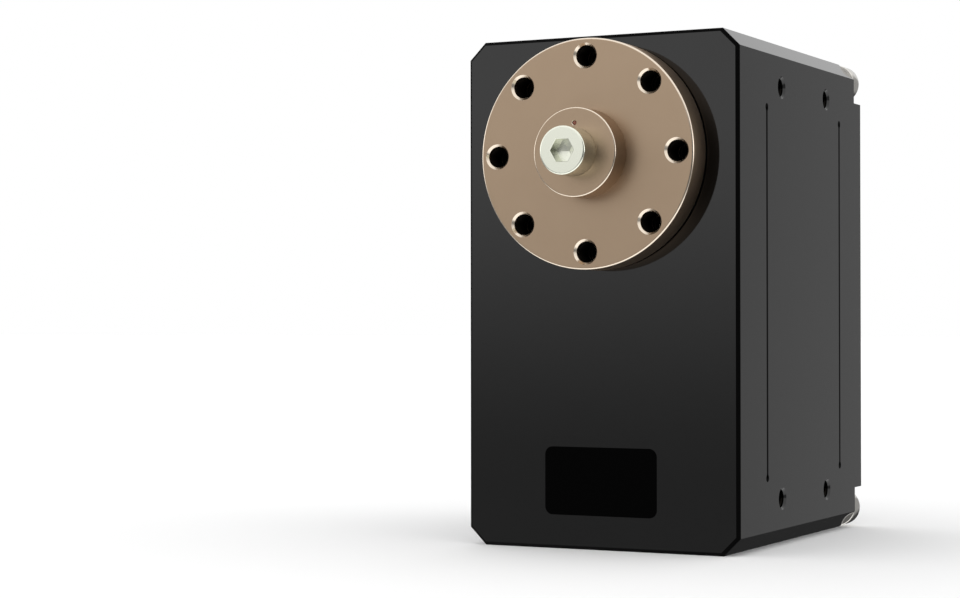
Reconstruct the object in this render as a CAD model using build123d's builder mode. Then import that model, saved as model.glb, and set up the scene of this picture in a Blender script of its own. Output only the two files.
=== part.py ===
from build123d import *
from math import acos, atan2, cos, pi, radians, sin, sqrt, tan
import os

os.makedirs("parts", exist_ok=True)

# Frame: the output axis is the line x = 0, z = 0. The flat bolting face of the output horn lies
# at y = 0 and faces -Y, the rear face with the connector faces +Y, and +Z points up.

# Clearances
running_clearance = 0.04
seat_clearance = 0.02
screw_clearance = 0.05
end_clearance = 0.1

# Gear train: four meshes of stub teeth with a pressure angle of 25 degrees
pressure_angle = radians(25)
addendum_factor = 0.8
dedendum_factor = 1.1
tooth_backlash = 0.06
flank_steps = 3
pinion_teeth = 10
motor_stage_module = 0.4
motor_stage_teeth = 44
middle_stage_module = 0.5
middle_stage_teeth = 32
output_stage_module = 0.7
output_stage_teeth = 32
left_pin_lean = radians(13.736)
right_pin_slope = radians(42.83)
output_gear_width = 4.0
third_wheel_width = 2.5
second_wheel_width = 2.0
first_wheel_width = 1.5
bearing_to_gear = 0.4
wheel_gap = 0.45
pinion_lead = 0.15
partition_gap = 0.5
partition_thickness = 2.0

# Web of the output gear
rim_thickness = 1.0
gear_hub_thickness = 1.7
web_recess = 1.0
web_hole_radius = 1.1
web_hole_count = 6

# Motor
motor_radius = 12.0
motor_cap_thickness = 2.0
motor_cap_bevel = 0.4
motor_spigot = 0.8
motor_spigot_wall = 1.4
motor_slot_offset = 5.5
motor_slot_length = 3.0
motor_slot_width = 1.2
motor_slot_depth = 0.8
motor_wall = 0.8
motor_face = 1.2
coil_air_gap = 0.6
coil_wall = 0.7
coil_front_gap = 1.0
coil_rear_gap = 1.4
coil_disc = 0.9
coil_hub_radius = 2.4
coil_hub_height = 0.5
magnet_air_gap = 0.5
magnet_end_gap = 0.9
magnet_bore_gap = 0.3
motor_shaft_radius = 0.75
motor_shaft_recess = 0.4
bush_radius = 2.0
bush_nose = 0.3
pinion_hole_gap = 0.28
motor_screw_offset = 7.0
motor_screw_head_radius = 1.8
motor_screw_head_height = 0.9
motor_screw_radius = 0.95
motor_screw_socket = 1.3
motor_screw_sink = 1.0

# Gaps between the mechanism and the casing round it, and the walls of the casing
output_rim_gap = 1.24
output_top_gap = 0.44
wheel_to_wall = 0.35
wheel_to_floor = 1.7
motor_side_gap = 1.0
motor_floor_gap = 1.3
side_wall = 3.75
top_wall = 1.55
floor_wall = 6.95
front_wall = 2.6
cavity_corner = 5.0
gasket_width = 0.6
gasket_thickness = 0.8

# Casing outside
case_depth = 44.0
front_case_depth = 9.0
rear_cover_depth = 9.0
corner_chamfer = 2.0
edge_bevel = 0.4
joint_line_width = 0.3
joint_line_depth = 0.3
joint_line_dot = 0.5
joint_line_margin = 8.15

# Rear recess in two steps
recess_rim_radius = 12.0
recess_step_depth = 1.7
recess_step_width = 1.9
recess_depth = 5.1
recess_edge_wall = 1.35
recess_wall = 2.2
cover_wall = 1.6

# Output horn
horn_bolt_circle = 22.0
horn_bolt_count = 8
horn_edge_margin = 2.0
horn_thickness = 3.7
horn_gap = 0.3
horn_rim_bevel = 0.2
horn_hole_radius = 1.2
tapped_hole_bevel = 0.25
hub_radius = 5.0
hub_height = 2.95
hub_bevel = 0.15
hub_mark_offset = 3.25
hub_mark_radius = 0.25
hub_mark_depth = 0.2
horn_pocket_floor = 0.8
horn_screw_radius = 1.5
horn_screw_head_radius = 2.72
horn_screw_head_height = 3.25
horn_screw_length = 10.5
horn_screw_socket = 2.5

# Screw heads: a hexagon socket with two corners level, or upright when it is turned
screw_head_bevel = 0.15
socket_depth_ratio = 0.55
socket_level = 0
socket_upright = 30

# Corner screws, M2.5, in notches of the rear cover
corner_screw_inset = 2.35
corner_head_radius = 2.25
corner_head_height = 2.5
corner_shank_radius = 1.25
corner_socket = 2.0
corner_hole_floor = 2.5
corner_notch_depth = 3.0
corner_side_gap = 0.3
corner_end_gap = 0.4

# Tapped mounting holes in both sides, M2.5
side_hole_radius = 1.05
side_hole_depth = 3.0
side_hole_inset = 5.5
side_hole_start = 14.0
side_hole_spacing = 16.0

# Shaft seal and ball bearings of the output shaft
seal_depth = 1.6
seal_lip_height = 0.62
seal_ring_width = 1.3
seal_face_gap = 0.15
seal_lip_start = 0.4
seal_lip_width = 0.2
front_bearing_bore = 5.0
front_bearing_section = 2.5
front_bearing_width = 4.0
front_bearing_boss_wall = 2.1
front_bearing_ball_count = 10
rear_bearing_bore = 3.0
rear_bearing_section = 2.0
rear_bearing_width = 3.0
rear_bearing_ball_count = 8
ring_share = 0.3
ball_share = 0.31
cage_share = 0.12
cage_width_ratio = 1.5

# Output shaft
shaft_step = 0.5
shaft_tail_step = 0.6
shaft_shoulder_gap = 0.2
shaft_tunnel_gap = 0.2
spline_count = 20
spline_outer_radius = 3.6
spline_depth = 0.3
spline_end_gap = 0.2

# Fixed pins of the reduction gears, with their bosses, washer and sleeve
pin_radius = 0.75
pin_bevel = 0.15
pin_hole_floor = 1.2
pin_hole_depth = 1.6
pin_boss_wall = 1.05
boss_gap = 0.15
washer_width = 0.85
sleeve_wall = 0.4

# Encoder behind the end of the output shaft
encoder_bay_depth = 4.3
encoder_post_height = 1.0
encoder_post_radius = 1.8
encoder_board_side_gap = 1.5
encoder_board_height = 16.0
encoder_board_corner = 1.0
encoder_board_thickness = 0.8
encoder_chip_size = 4.0
encoder_chip_thickness = 0.75
encoder_air_gap = 0.75
encoder_magnet_thickness = 2.0
encoder_screw_inset = 2.5
encoder_screw_radius = 0.7
encoder_screw_head_radius = 1.4
encoder_screw_head_height = 1.0
encoder_screw_socket = 1.1
encoder_screw_depth = 3.2
chip_bevel = 0.1

# Control board on its posts in the rear cover
control_board_thickness = 1.0
board_post_height = 2.0
board_edge_gap = 0.5
board_screw_post_radius = 1.9
board_screw_side = 2.1
board_screw_rise = 2.7
board_rest_post_radius = 1.6
board_rest_inset = 2.0
board_screw_radius = 0.8
board_screw_head_radius = 1.5
board_screw_head_height = 0.9
board_screw_socket = 1.3
board_screw_depth = 1.4
processor_size = 7.0
processor_thickness = 1.2
processor_left = 4.0
processor_drop = 8.9
driver_size = 5.0
driver_thickness = 1.0
driver_right = 5.5
driver_drop = 13.4
capacitor_length = 7.3
capacitor_width = 4.3
capacitor_thickness = 1.8
capacitor_right = 4.5
capacitor_drop = 5.0

# Link ribbon between the two boards
ribbon_thickness = 0.2
ribbon_width = 2.6
ribbon_side_gap = 2.2
ribbon_tab = 3.5
ribbon_edge_gap = 0.5
ribbon_ceiling_gap = 0.1
ribbon_motor_gap = 0.3
ribbon_overlap = 3.4

# Round connector on the recess floor, with an 8 mm thread outside
connector_radius = 4.0
connector_wall = 0.73
connector_collar_width = 1.15
connector_collar_height = 1.65
connector_proud = 0.9
connector_rim_bevel = 0.1
connector_tail = 1.6
insulator_sink = 1.6
insulator_bevel = 0.35
contact_sink = 0.7
contact_tail = 0.4
contact_tip_round = 0.2
contact_circle_radius = 1.18
contact_radius = 0.38
contact_count = 4
nut_wall = 0.9
nut_thickness = 1.3
connector_seal_inset = 0.25
connector_seal_thickness = 0.6

# Label plate, bare
label_width = 13.8
label_height = 7.75
label_corner = 0.9
label_thickness = 0.3
label_above_bottom = 3.9


def centre_distance(module, teeth):
    return module * (pinion_teeth + teeth) / 2


def tip_radius(module, teeth):
    return module * (teeth / 2 + addendum_factor)


# Axes of the train as (x, z). The left pin hangs below the output axis, leaning to the left, the
# right pin lies down a slope from the left one, and the motor is straight below the output axis.
output_axis = (0.0, 0.0)
output_distance = centre_distance(output_stage_module, output_stage_teeth)
middle_distance = centre_distance(middle_stage_module, middle_stage_teeth)
motor_distance = centre_distance(motor_stage_module, motor_stage_teeth)
left_pin_axis = (-output_distance * sin(left_pin_lean), -output_distance * cos(left_pin_lean))
right_pin_axis = (
    left_pin_axis[0] + middle_distance * cos(right_pin_slope),
    left_pin_axis[1] - middle_distance * sin(right_pin_slope),
)
motor_axis = (0.0, left_pin_axis[1] - sqrt(motor_distance**2 - left_pin_axis[0] ** 2))
output_gear_tip = tip_radius(output_stage_module, output_stage_teeth)
second_wheel_tip = tip_radius(middle_stage_module, middle_stage_teeth)
first_wheel_tip = tip_radius(motor_stage_module, motor_stage_teeth)
motor_pinion_tip = tip_radius(motor_stage_module, pinion_teeth)

# The casing stands round the mechanism: its hollow is as wide as the widest wheel or the motor
# needs, and its top clears the output gear and the rear recess.
cavity_half_width = max(
    output_gear_tip + output_rim_gap,
    first_wheel_tip + wheel_to_wall - left_pin_axis[0],
    second_wheel_tip + wheel_to_wall + right_pin_axis[0],
    motor_radius + motor_side_gap,
)
half_width = cavity_half_width + side_wall
cavity_top = output_gear_tip + output_top_gap
top_z = max(cavity_top + top_wall, recess_rim_radius + edge_bevel + recess_edge_wall)
lowest_wheel_z = min(right_pin_axis[1] - second_wheel_tip, motor_axis[1] - motor_pinion_tip)
gear_cavity_bottom = lowest_wheel_z - wheel_to_floor
board_cavity_bottom = motor_axis[1] - motor_radius - motor_floor_gap
bottom_z = board_cavity_bottom - floor_wall
centre_z = (top_z + bottom_z) / 2
case_width = 2 * half_width
case_height = top_z - bottom_z

# Depths of the casing
front_y = horn_thickness + horn_gap
inner_face_y = front_y + front_wall
front_joint_y = front_y + front_case_depth
rear_y = front_y + case_depth
rear_joint_y = rear_y - rear_cover_depth
rear_gasket_y = rear_joint_y - gasket_thickness
recess_step_y = rear_y - recess_step_depth
recess_floor_y = rear_y - recess_depth
recess_floor_radius = recess_rim_radius - recess_step_width
upper_ceiling_y = recess_floor_y - cover_wall
lower_floor_y = rear_y - cover_wall
lower_hollow_top = -(recess_rim_radius + edge_bevel + recess_wall)
block_rear_y = upper_ceiling_y - encoder_bay_depth

# Depths of the train, from the output gear behind the front bearing back to the partition
front_bearing_y = front_y + seal_depth
front_bearing_end_y = front_bearing_y + front_bearing_width
output_gear_y = front_bearing_end_y + bearing_to_gear
output_gear_end_y = output_gear_y + output_gear_width
third_gear_y = output_gear_y - pinion_lead
third_wheel_y = output_gear_end_y + wheel_gap
third_wheel_end_y = third_wheel_y + third_wheel_width
second_gear_y = third_wheel_y - pinion_lead
second_wheel_y = third_wheel_end_y + wheel_gap
second_wheel_end_y = second_wheel_y + second_wheel_width
first_gear_y = second_wheel_y - pinion_lead
first_wheel_y = second_wheel_end_y + wheel_gap
first_wheel_end_y = first_wheel_y + first_wheel_width
motor_pinion_y = first_wheel_y - pinion_lead
motor_pinion_end_y = first_wheel_end_y + pinion_lead
partition_y = motor_pinion_end_y + partition_gap
rear_bearing_y = partition_y
rear_bearing_end_y = rear_bearing_y + rear_bearing_width

# Pins of the reduction gears
pin_start_y = front_y + pin_hole_floor
pin_end_y = partition_y + pin_hole_depth
pin_boss_radius = pin_radius + pin_boss_wall
left_boss_end_y = third_gear_y - boss_gap
right_boss_end_y = second_gear_y - boss_gap
rear_boss_y = first_wheel_end_y + boss_gap

# Radii of the horn, the shaft and its bearings
horn_radius = horn_bolt_circle / 2 + horn_edge_margin
shaft_radius = front_bearing_bore - seat_clearance
shaft_gear_radius = shaft_radius - shaft_step
shaft_middle_radius = shaft_gear_radius - shaft_step
shaft_rear_radius = rear_bearing_bore - seat_clearance
shaft_tail_radius = shaft_rear_radius - shaft_tail_step
shaft_tunnel_radius = rear_bearing_bore + shaft_tunnel_gap
front_bearing_outer_radius = front_bearing_bore + front_bearing_section
rear_bearing_outer_radius = rear_bearing_bore + rear_bearing_section
seal_body_radius = shaft_radius + seal_lip_height
seal_outer_radius = seal_body_radius + seal_ring_width

# Corner screws and side holes
head_seat_y = rear_y - corner_notch_depth
corner_hole_y = front_y + corner_hole_floor
corner_notch_width = corner_screw_inset + corner_head_radius + corner_side_gap
corner_notch_height = corner_screw_inset + corner_head_radius + corner_end_gap
corner_notch_radius = corner_head_radius + corner_side_gap
corner_points = [
    (side * (half_width - corner_screw_inset), z)
    for side in (-1, 1)
    for z in (bottom_z + corner_screw_inset, top_z - corner_screw_inset)
]
side_hole_ys = (front_y + side_hole_start, front_y + side_hole_start + side_hole_spacing)
side_hole_zs = (bottom_z + side_hole_inset, top_z - side_hole_inset)

# Motor, between the partition and the ribbon under the ceiling of the rear cover
motor_y = partition_y + partition_thickness
motor_rear_y = upper_ceiling_y - ribbon_ceiling_gap - ribbon_thickness - ribbon_motor_gap
can_floor_y = motor_y + motor_face
can_open_y = motor_rear_y - motor_cap_thickness
coil_outer_radius = motor_radius - motor_wall - coil_air_gap
coil_inner_radius = coil_outer_radius - coil_wall
magnet_radius = coil_inner_radius - magnet_air_gap
motor_screw_points = [(side * motor_screw_offset, motor_axis[1]) for side in (-1, 1)]

# Boards
encoder_board_y = block_rear_y + encoder_post_height
encoder_rear_y = encoder_board_y + encoder_board_thickness
encoder_magnet_end_y = encoder_board_y - encoder_chip_thickness - encoder_air_gap
encoder_magnet_y = encoder_magnet_end_y - encoder_magnet_thickness
encoder_half_width = cavity_half_width - encoder_board_side_gap
encoder_screw_points = [(side * (encoder_half_width - encoder_screw_inset), 0.0) for side in (-1, 1)]
board_rear_y = lower_floor_y - board_post_height
control_board_y = board_rear_y - control_board_thickness
board_half_width = cavity_half_width - board_edge_gap
board_top = lower_hollow_top - board_edge_gap
board_bottom = board_cavity_bottom + board_edge_gap
board_hole_end_y = board_rear_y + board_screw_depth
board_screw_points = [
    (side * (board_half_width - board_screw_side), board_bottom + board_screw_rise) for side in (-1, 1)
]
board_rest_points = [
    (side * (cavity_half_width - board_rest_inset), lower_hollow_top - board_rest_inset)
    for side in (-1, 1)
]

# Connector
connector_bore_radius = connector_radius - connector_wall
connector_collar_radius = connector_radius + connector_collar_width
connector_seal_radius = connector_collar_radius - connector_seal_inset
connector_seal_y = recess_floor_y - connector_seal_thickness
connector_rim_y = rear_y + connector_proud
connector_tail_y = upper_ceiling_y - connector_tail
insulator_face_y = rear_y - insulator_sink
label_z = bottom_z + label_above_bottom + label_height / 2


def depth_plane(y):
    """Plane across the output axis at depth y: sketch x is global X and sketch y is global Z."""
    return Plane.XZ.offset(-y)


def axis_line(axis):
    """Line parallel to Y through an axis given as (x, z)."""
    return Axis((axis[0], 0, axis[1]), (0, 1, 0))


def round_bar(points, radius, start, end, mode=Mode.ADD):
    """Adds or cuts round bars parallel to Y between two depths in the part being built."""
    with BuildSketch(depth_plane(start)) as discs:
        with Locations(*points):
            Circle(radius)
    extrude(discs.sketch, amount=start - end, mode=mode)


def round_hole(points, radius, start, end):
    round_bar(points, radius, start, end, mode=Mode.SUBTRACT)


def turned_profile(corners, axis=output_axis):
    """Half section of a turned piece, given as (radius, depth) corners beside its axis."""
    with BuildSketch(Plane((axis[0], 0, axis[1]))) as half:
        with BuildLine():
            Polyline(*corners, close=True)
        make_face()
    return half.sketch


def turned_piece(corners, axis=output_axis):
    with BuildPart() as turned:
        revolve(turned_profile(corners, axis), axis=axis_line(axis))
    return turned


def front_rim(piece):
    """Outer edges of the face that lies furthest forward."""
    return piece.faces().sort_by(Axis.Y)[0].outer_wire().edges()


def rear_rim(piece):
    """Outer edges of the face that lies furthest back."""
    return piece.faces().sort_by(Axis.Y)[-1].outer_wire().edges()


def rounded_opening(bottom, grow=0.0):
    """Outline of the hollow inside the casing, from its top down to a given height."""
    width = 2 * (cavity_half_width + grow)
    height = cavity_top - bottom + 2 * grow
    with BuildSketch() as opening:
        with Locations((0, (cavity_top + bottom) / 2)):
            RectangleRounded(width, height, cavity_corner + grow)
    return opening.sketch


def hollow(opening, start, end):
    """Cuts an outline out of the part being built, between two depths."""
    with BuildSketch(depth_plane(start)) as cut:
        add(opening)
    extrude(cut.sketch, amount=start - end, mode=Mode.SUBTRACT)


def casing_block(start, end):
    """Slice of the outer casing with its four chamfered long edges."""
    with BuildPart() as block:
        with BuildSketch(depth_plane(start)) as outline:
            with Locations((0, centre_z)):
                Rectangle(case_width, case_height)
            chamfer(outline.vertices(), corner_chamfer)
        extrude(amount=start - end)
    return block


def joint_line(joint_y):
    """Cuts the fine shadow line along a joint into both sides of the part being built."""
    low, high = bottom_z + joint_line_margin, top_z - joint_line_margin
    for side in (-1, 1):
        with BuildSketch(Plane.YZ.offset(side * half_width)) as line:
            with Locations((joint_y, (low + high) / 2)):
                Rectangle(joint_line_width, high - low)
            with Locations((joint_y, low), (joint_y, high)):
                Circle(joint_line_dot / 2)
        extrude(line.sketch, amount=-side * joint_line_depth, mode=Mode.SUBTRACT)


def involute(angle):
    return tan(angle) - angle


def gear_points(teeth, module, axis, first_tooth):
    """Outline of a stub involute gear round an axis (x, z), one tooth centred on first_tooth."""
    pitch_radius = module * teeth / 2
    base_radius = pitch_radius * cos(pressure_angle)
    root_radius = pitch_radius - dedendum_factor * module
    half_tooth = pi / (2 * teeth) - tooth_backlash / (2 * pitch_radius)
    flank_start = max(base_radius, root_radius)
    flank_height = tip_radius(module, teeth) - flank_start
    flank = []
    for step in range(flank_steps + 1):
        radius = flank_start + flank_height * step / flank_steps
        turn = half_tooth + involute(pressure_angle) - involute(acos(min(1, base_radius / radius)))
        flank.append((radius, turn))
    if flank_start > root_radius:
        flank.insert(0, (root_radius, flank[0][1]))
    points = []
    for tooth in range(teeth):
        middle = first_tooth + 2 * pi * tooth / teeth
        rising = [(radius, middle - turn) for radius, turn in flank]
        falling = [(radius, middle + turn) for radius, turn in reversed(flank)]
        for radius, angle in rising + falling:
            points.append((axis[0] + radius * cos(angle), axis[1] + radius * sin(angle)))
    return points


def toothed_ring(teeth, module, axis, first_tooth, start, end):
    """Adds the toothed disc of a gear to the part being built, between two depths."""
    with BuildSketch(depth_plane(start)) as outline:
        with BuildLine():
            Polyline(*gear_points(teeth, module, axis, first_tooth), close=True)
        make_face()
    extrude(outline.sketch, amount=start - end)


def direction(start, end):
    """Angle in the X-Z plane of the line from one axis to another."""
    return atan2(end[1] - start[1], end[0] - start[0])


def gap_towards(teeth, axis, other):
    """Tooth angle that puts a gap of the wheel on the line to its pinion."""
    return direction(axis, other) + pi / teeth


def spline_outline(grow, depth):
    """Toothed outline shared by the nose of the output shaft and the pocket in the horn."""
    corners = []
    for flank in range(2 * spline_count):
        radius = spline_outer_radius + grow - (0 if flank % 2 else spline_depth)
        angle = pi * flank / spline_count
        corners.append((radius * cos(angle), radius * sin(angle)))
    with BuildSketch(depth_plane(depth)) as outline:
        with BuildLine():
            Polyline(*corners, close=True)
        make_face()
    return outline.sketch


def socket_screw(axis, head_radius, head_height, shank_radius, head_y, tip_y, socket, socket_turn):
    """Cap screw parallel to Y. Its head rests at head_y and the shank ends at tip_y."""
    away = 1 if head_y > tip_y else -1
    face_y = head_y + away * head_height
    with BuildPart() as screw:
        round_bar([axis], shank_radius, head_y, tip_y)
        round_bar([axis], head_radius, head_y, face_y)
        chamfer(rear_rim(screw) if away > 0 else front_rim(screw), screw_head_bevel)
        with BuildSketch(depth_plane(face_y)) as hexagon:
            with Locations(axis):
                RegularPolygon(socket / 2, 6, major_radius=False, rotation=socket_turn)
        extrude(hexagon.sketch, amount=away * socket_depth_ratio * head_height, mode=Mode.SUBTRACT)
    return screw


def bearing_ring(inner_radius, outer_radius, groove_radius, groove_circle, start, width):
    """Ring of a ball bearing, with the angular groove that its balls run in."""
    with BuildPart() as ring:
        with BuildSketch(Plane.XY):
            with Locations(((inner_radius + outer_radius) / 2, start + width / 2)):
                Rectangle(outer_radius - inner_radius, width)
            with Locations((groove_circle, start + width / 2)):
                RegularPolygon(groove_radius, 8, major_radius=False, mode=Mode.SUBTRACT)
        revolve(axis=Axis.Y)
    return ring


def caged_balls(ball_circle, ball_radius, ball_count, cage_thickness, middle):
    """Balls of a bearing, turned from five straight bands each, joined by the cage that carries them."""
    with BuildPart() as ball:
        with BuildSketch(Plane.XZ):
            RegularPolygon(ball_radius, 8, rotation=22.5)
            with Locations((-ball_radius, 0)):
                Rectangle(2 * ball_radius, 2 * ball_radius, mode=Mode.SUBTRACT)
        revolve(axis=Axis.Z)
    with BuildPart() as cage:
        with BuildSketch(Plane.XY):
            with Locations((ball_circle, middle)):
                Rectangle(cage_thickness, cage_width_ratio * ball_radius)
        revolve(axis=Axis.Y)
        with Locations(depth_plane(middle)):
            with PolarLocations(ball_circle, ball_count):
                add(ball.part)
    return cage


def save(piece, name):
    piece.part.label = name
    export_step(piece.part, f"parts/{name}.step")


gear_opening = rounded_opening(gear_cavity_bottom)
board_opening = rounded_opening(board_cavity_bottom)
gear_gasket_seat = rounded_opening(gear_cavity_bottom, gasket_width)
board_gasket_seat = rounded_opening(board_cavity_bottom, gasket_width)

# Front case: the face round the horn, the seats of the seal and the front bearing, the front
# bosses of the gear pins and the tapped holes for the corner screws.
front_block = casing_block(front_y, front_joint_y)
with BuildPart() as front_case:
    add(front_block.part)
    chamfer(front_rim(front_case), edge_bevel)
    hollow(gear_opening, inner_face_y, front_joint_y)
    bearing_boss_radius = front_bearing_outer_radius + front_bearing_boss_wall
    round_bar([output_axis], bearing_boss_radius, inner_face_y, front_bearing_end_y)
    round_bar([left_pin_axis], pin_boss_radius, inner_face_y, left_boss_end_y)
    round_bar([right_pin_axis], pin_boss_radius, inner_face_y, right_boss_end_y)
    round_hole([output_axis], seal_outer_radius, front_y, front_bearing_y)
    front_seat_radius = front_bearing_outer_radius + seat_clearance
    round_hole([output_axis], front_seat_radius, front_bearing_y, front_bearing_end_y)
    round_hole([left_pin_axis], pin_radius + seat_clearance, pin_start_y, left_boss_end_y)
    round_hole([right_pin_axis], pin_radius + seat_clearance, pin_start_y, right_boss_end_y)
    round_hole(corner_points, corner_shank_radius + seat_clearance, corner_hole_y, front_joint_y)
    with BuildSketch(depth_plane(front_y)):
        with Locations((0, label_z)):
            RectangleRounded(
                label_width + 2 * seat_clearance,
                label_height + 2 * seat_clearance,
                label_corner + seat_clearance,
            )
    extrude(amount=-label_thickness, mode=Mode.SUBTRACT)
    joint_line(front_joint_y)
save(front_case, "front_case")

# Middle case: a solid block that carries the motor bore, the shaft tunnel, the rear bearing,
# the eight tapped side holes and both gasket seats.
middle_block = casing_block(front_joint_y, rear_joint_y)
with BuildPart() as middle_case:
    add(middle_block.part)
    hollow(gear_opening, front_joint_y, partition_y)
    hollow(gear_gasket_seat, front_joint_y, front_joint_y + gasket_thickness)
    hollow(board_opening, block_rear_y, rear_joint_y)
    hollow(board_gasket_seat, rear_gasket_y, rear_joint_y)
    round_bar([left_pin_axis], pin_boss_radius, rear_boss_y, partition_y)
    round_bar(encoder_screw_points, encoder_post_radius, block_rear_y, encoder_board_y)
    round_hole([motor_axis], motor_radius + screw_clearance, motor_y, block_rear_y)
    round_hole([motor_axis], motor_pinion_tip + pinion_hole_gap, partition_y, motor_y)
    screw_sink_y = partition_y + motor_screw_sink
    round_hole(motor_screw_points, motor_screw_head_radius + screw_clearance, partition_y, screw_sink_y)
    round_hole(motor_screw_points, motor_screw_radius + screw_clearance, partition_y, motor_y)
    rear_seat_radius = rear_bearing_outer_radius + seat_clearance
    round_hole([output_axis], rear_seat_radius, rear_bearing_y, rear_bearing_end_y)
    round_hole([output_axis], shaft_tunnel_radius, rear_bearing_y, block_rear_y)
    round_hole([left_pin_axis, right_pin_axis], pin_radius + seat_clearance, rear_boss_y, pin_end_y)
    encoder_hole_y = block_rear_y - encoder_screw_depth
    round_hole(encoder_screw_points, encoder_screw_radius + seat_clearance, encoder_hole_y, encoder_board_y)
    round_hole(corner_points, corner_shank_radius + screw_clearance, front_joint_y, rear_joint_y)
    for side in (-1, 1):
        with BuildSketch(Plane.YZ.offset(side * half_width)):
            with Locations(*[(y, z) for y in side_hole_ys for z in side_hole_zs]):
                Circle(side_hole_radius)
        extrude(amount=-side * side_hole_depth, mode=Mode.SUBTRACT)
        side_face = middle_case.faces().filter_by(Axis.X).sort_by(Axis.X)[-1 if side > 0 else 0]
        chamfer(side_face.edges().filter_by(GeomType.CIRCLE), tapped_hole_bevel)
    joint_line(front_joint_y)
    joint_line(rear_joint_y)
save(middle_case, "middle_case")

# Rear cover: four corner notches for the screw heads, a stepped round recess whose floor carries
# the connector, and the posts of the control board inside.
rear_block = casing_block(rear_joint_y, rear_y)
with BuildPart() as rear_cover:
    add(rear_block.part)
    with BuildSketch(depth_plane(head_seat_y)):
        with Locations(*[(side * half_width, z) for side in (-1, 1) for z in (bottom_z, top_z)]):
            RectangleRounded(2 * corner_notch_width, 2 * corner_notch_height, corner_notch_radius)
    extrude(amount=-corner_notch_depth, mode=Mode.SUBTRACT)
    round_hole([output_axis], recess_rim_radius, recess_step_y, rear_y)
    chamfer(rear_cover.faces().sort_by(Axis.Y)[-1].edges(), edge_bevel)
    round_hole([output_axis], recess_floor_radius, recess_floor_y, recess_step_y)
    step_face = rear_cover.faces().filter_by(Axis.Y).filter_by_position(
        Axis.Y, recess_step_y - seat_clearance, recess_step_y + seat_clearance
    )[0]
    chamfer(step_face.edges().sort_by(SortBy.RADIUS)[0], edge_bevel)
    hollow(board_opening, rear_joint_y, upper_ceiling_y)
    with BuildSketch(depth_plane(rear_joint_y)) as lower_hollow:
        with Locations((0, (lower_hollow_top + board_cavity_bottom) / 2)):
            Rectangle(2 * cavity_half_width, lower_hollow_top - board_cavity_bottom)
        fillet(lower_hollow.vertices().group_by(Axis.Y)[0], cavity_corner)
    extrude(amount=rear_joint_y - lower_floor_y, mode=Mode.SUBTRACT)
    round_bar(board_screw_points, board_screw_post_radius, board_rear_y, lower_floor_y)
    round_bar(board_rest_points, board_rest_post_radius, board_rear_y, lower_floor_y)
    round_hole(board_screw_points, board_screw_radius + seat_clearance, board_rear_y, board_hole_end_y)
    round_hole([output_axis], connector_seal_radius, connector_seal_y, recess_floor_y)
    round_hole([output_axis], connector_radius + seat_clearance, upper_ceiling_y, recess_floor_y)
    round_hole(corner_points, corner_shank_radius + screw_clearance, rear_joint_y, head_seat_y)
    joint_line(rear_joint_y)
save(rear_cover, "rear_cover")

# Gaskets that fill the two seats in the middle case.
for name, start, seat, opening in (
    ("front_gasket", front_joint_y, gear_gasket_seat, gear_opening),
    ("rear_gasket", rear_gasket_y, board_gasket_seat, board_opening),
):
    with BuildPart() as gasket:
        with BuildSketch(depth_plane(start)):
            add(seat)
            add(opening, mode=Mode.SUBTRACT)
        extrude(amount=-gasket_thickness)
    save(gasket, name)

# Label plate, left bare, flush in its pocket on the front face.
with BuildPart() as label_plate:
    with BuildSketch(depth_plane(front_y)):
        with Locations((0, label_z)):
            RectangleRounded(label_width, label_height, label_corner)
    extrude(amount=-label_thickness)
save(label_plate, "label_plate")

# Output horn: disc with a bevelled rim, eight tapped holes and a raised hub with a timing mark.
with BuildPart() as output_horn:
    round_bar([output_axis], horn_radius, 0, horn_thickness)
    chamfer(front_rim(output_horn), horn_rim_bevel)
    round_bar([output_axis], hub_radius, -hub_height, 0)
    chamfer(front_rim(output_horn), hub_bevel)
    with BuildSketch(depth_plane(0)):
        with PolarLocations(horn_bolt_circle / 2, horn_bolt_count):
            Circle(horn_hole_radius)
    extrude(amount=-horn_thickness, mode=Mode.SUBTRACT)
    bolt_face = output_horn.faces().filter_by(Axis.Y).filter_by_position(
        Axis.Y, -seat_clearance, seat_clearance
    )[0]
    hole_rims = bolt_face.edges().filter_by(GeomType.CIRCLE).group_by(SortBy.RADIUS)[0]
    chamfer(hole_rims, tapped_hole_bevel)
    pocket = spline_outline(seat_clearance, horn_pocket_floor)
    extrude(pocket, amount=horn_pocket_floor - horn_thickness, mode=Mode.SUBTRACT)
    round_hole([output_axis], horn_screw_radius + screw_clearance, -hub_height, horn_thickness)
    round_hole([(0, hub_mark_offset)], hub_mark_radius, -hub_height, hub_mark_depth - hub_height)
save(output_horn, "output_horn")

horn_screw_tip_y = horn_screw_length - hub_height
horn_screw = socket_screw(
    output_axis,
    horn_screw_head_radius,
    horn_screw_head_height,
    horn_screw_radius,
    -hub_height,
    horn_screw_tip_y,
    horn_screw_socket,
    socket_level,
)
save(horn_screw, "horn_screw")

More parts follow.
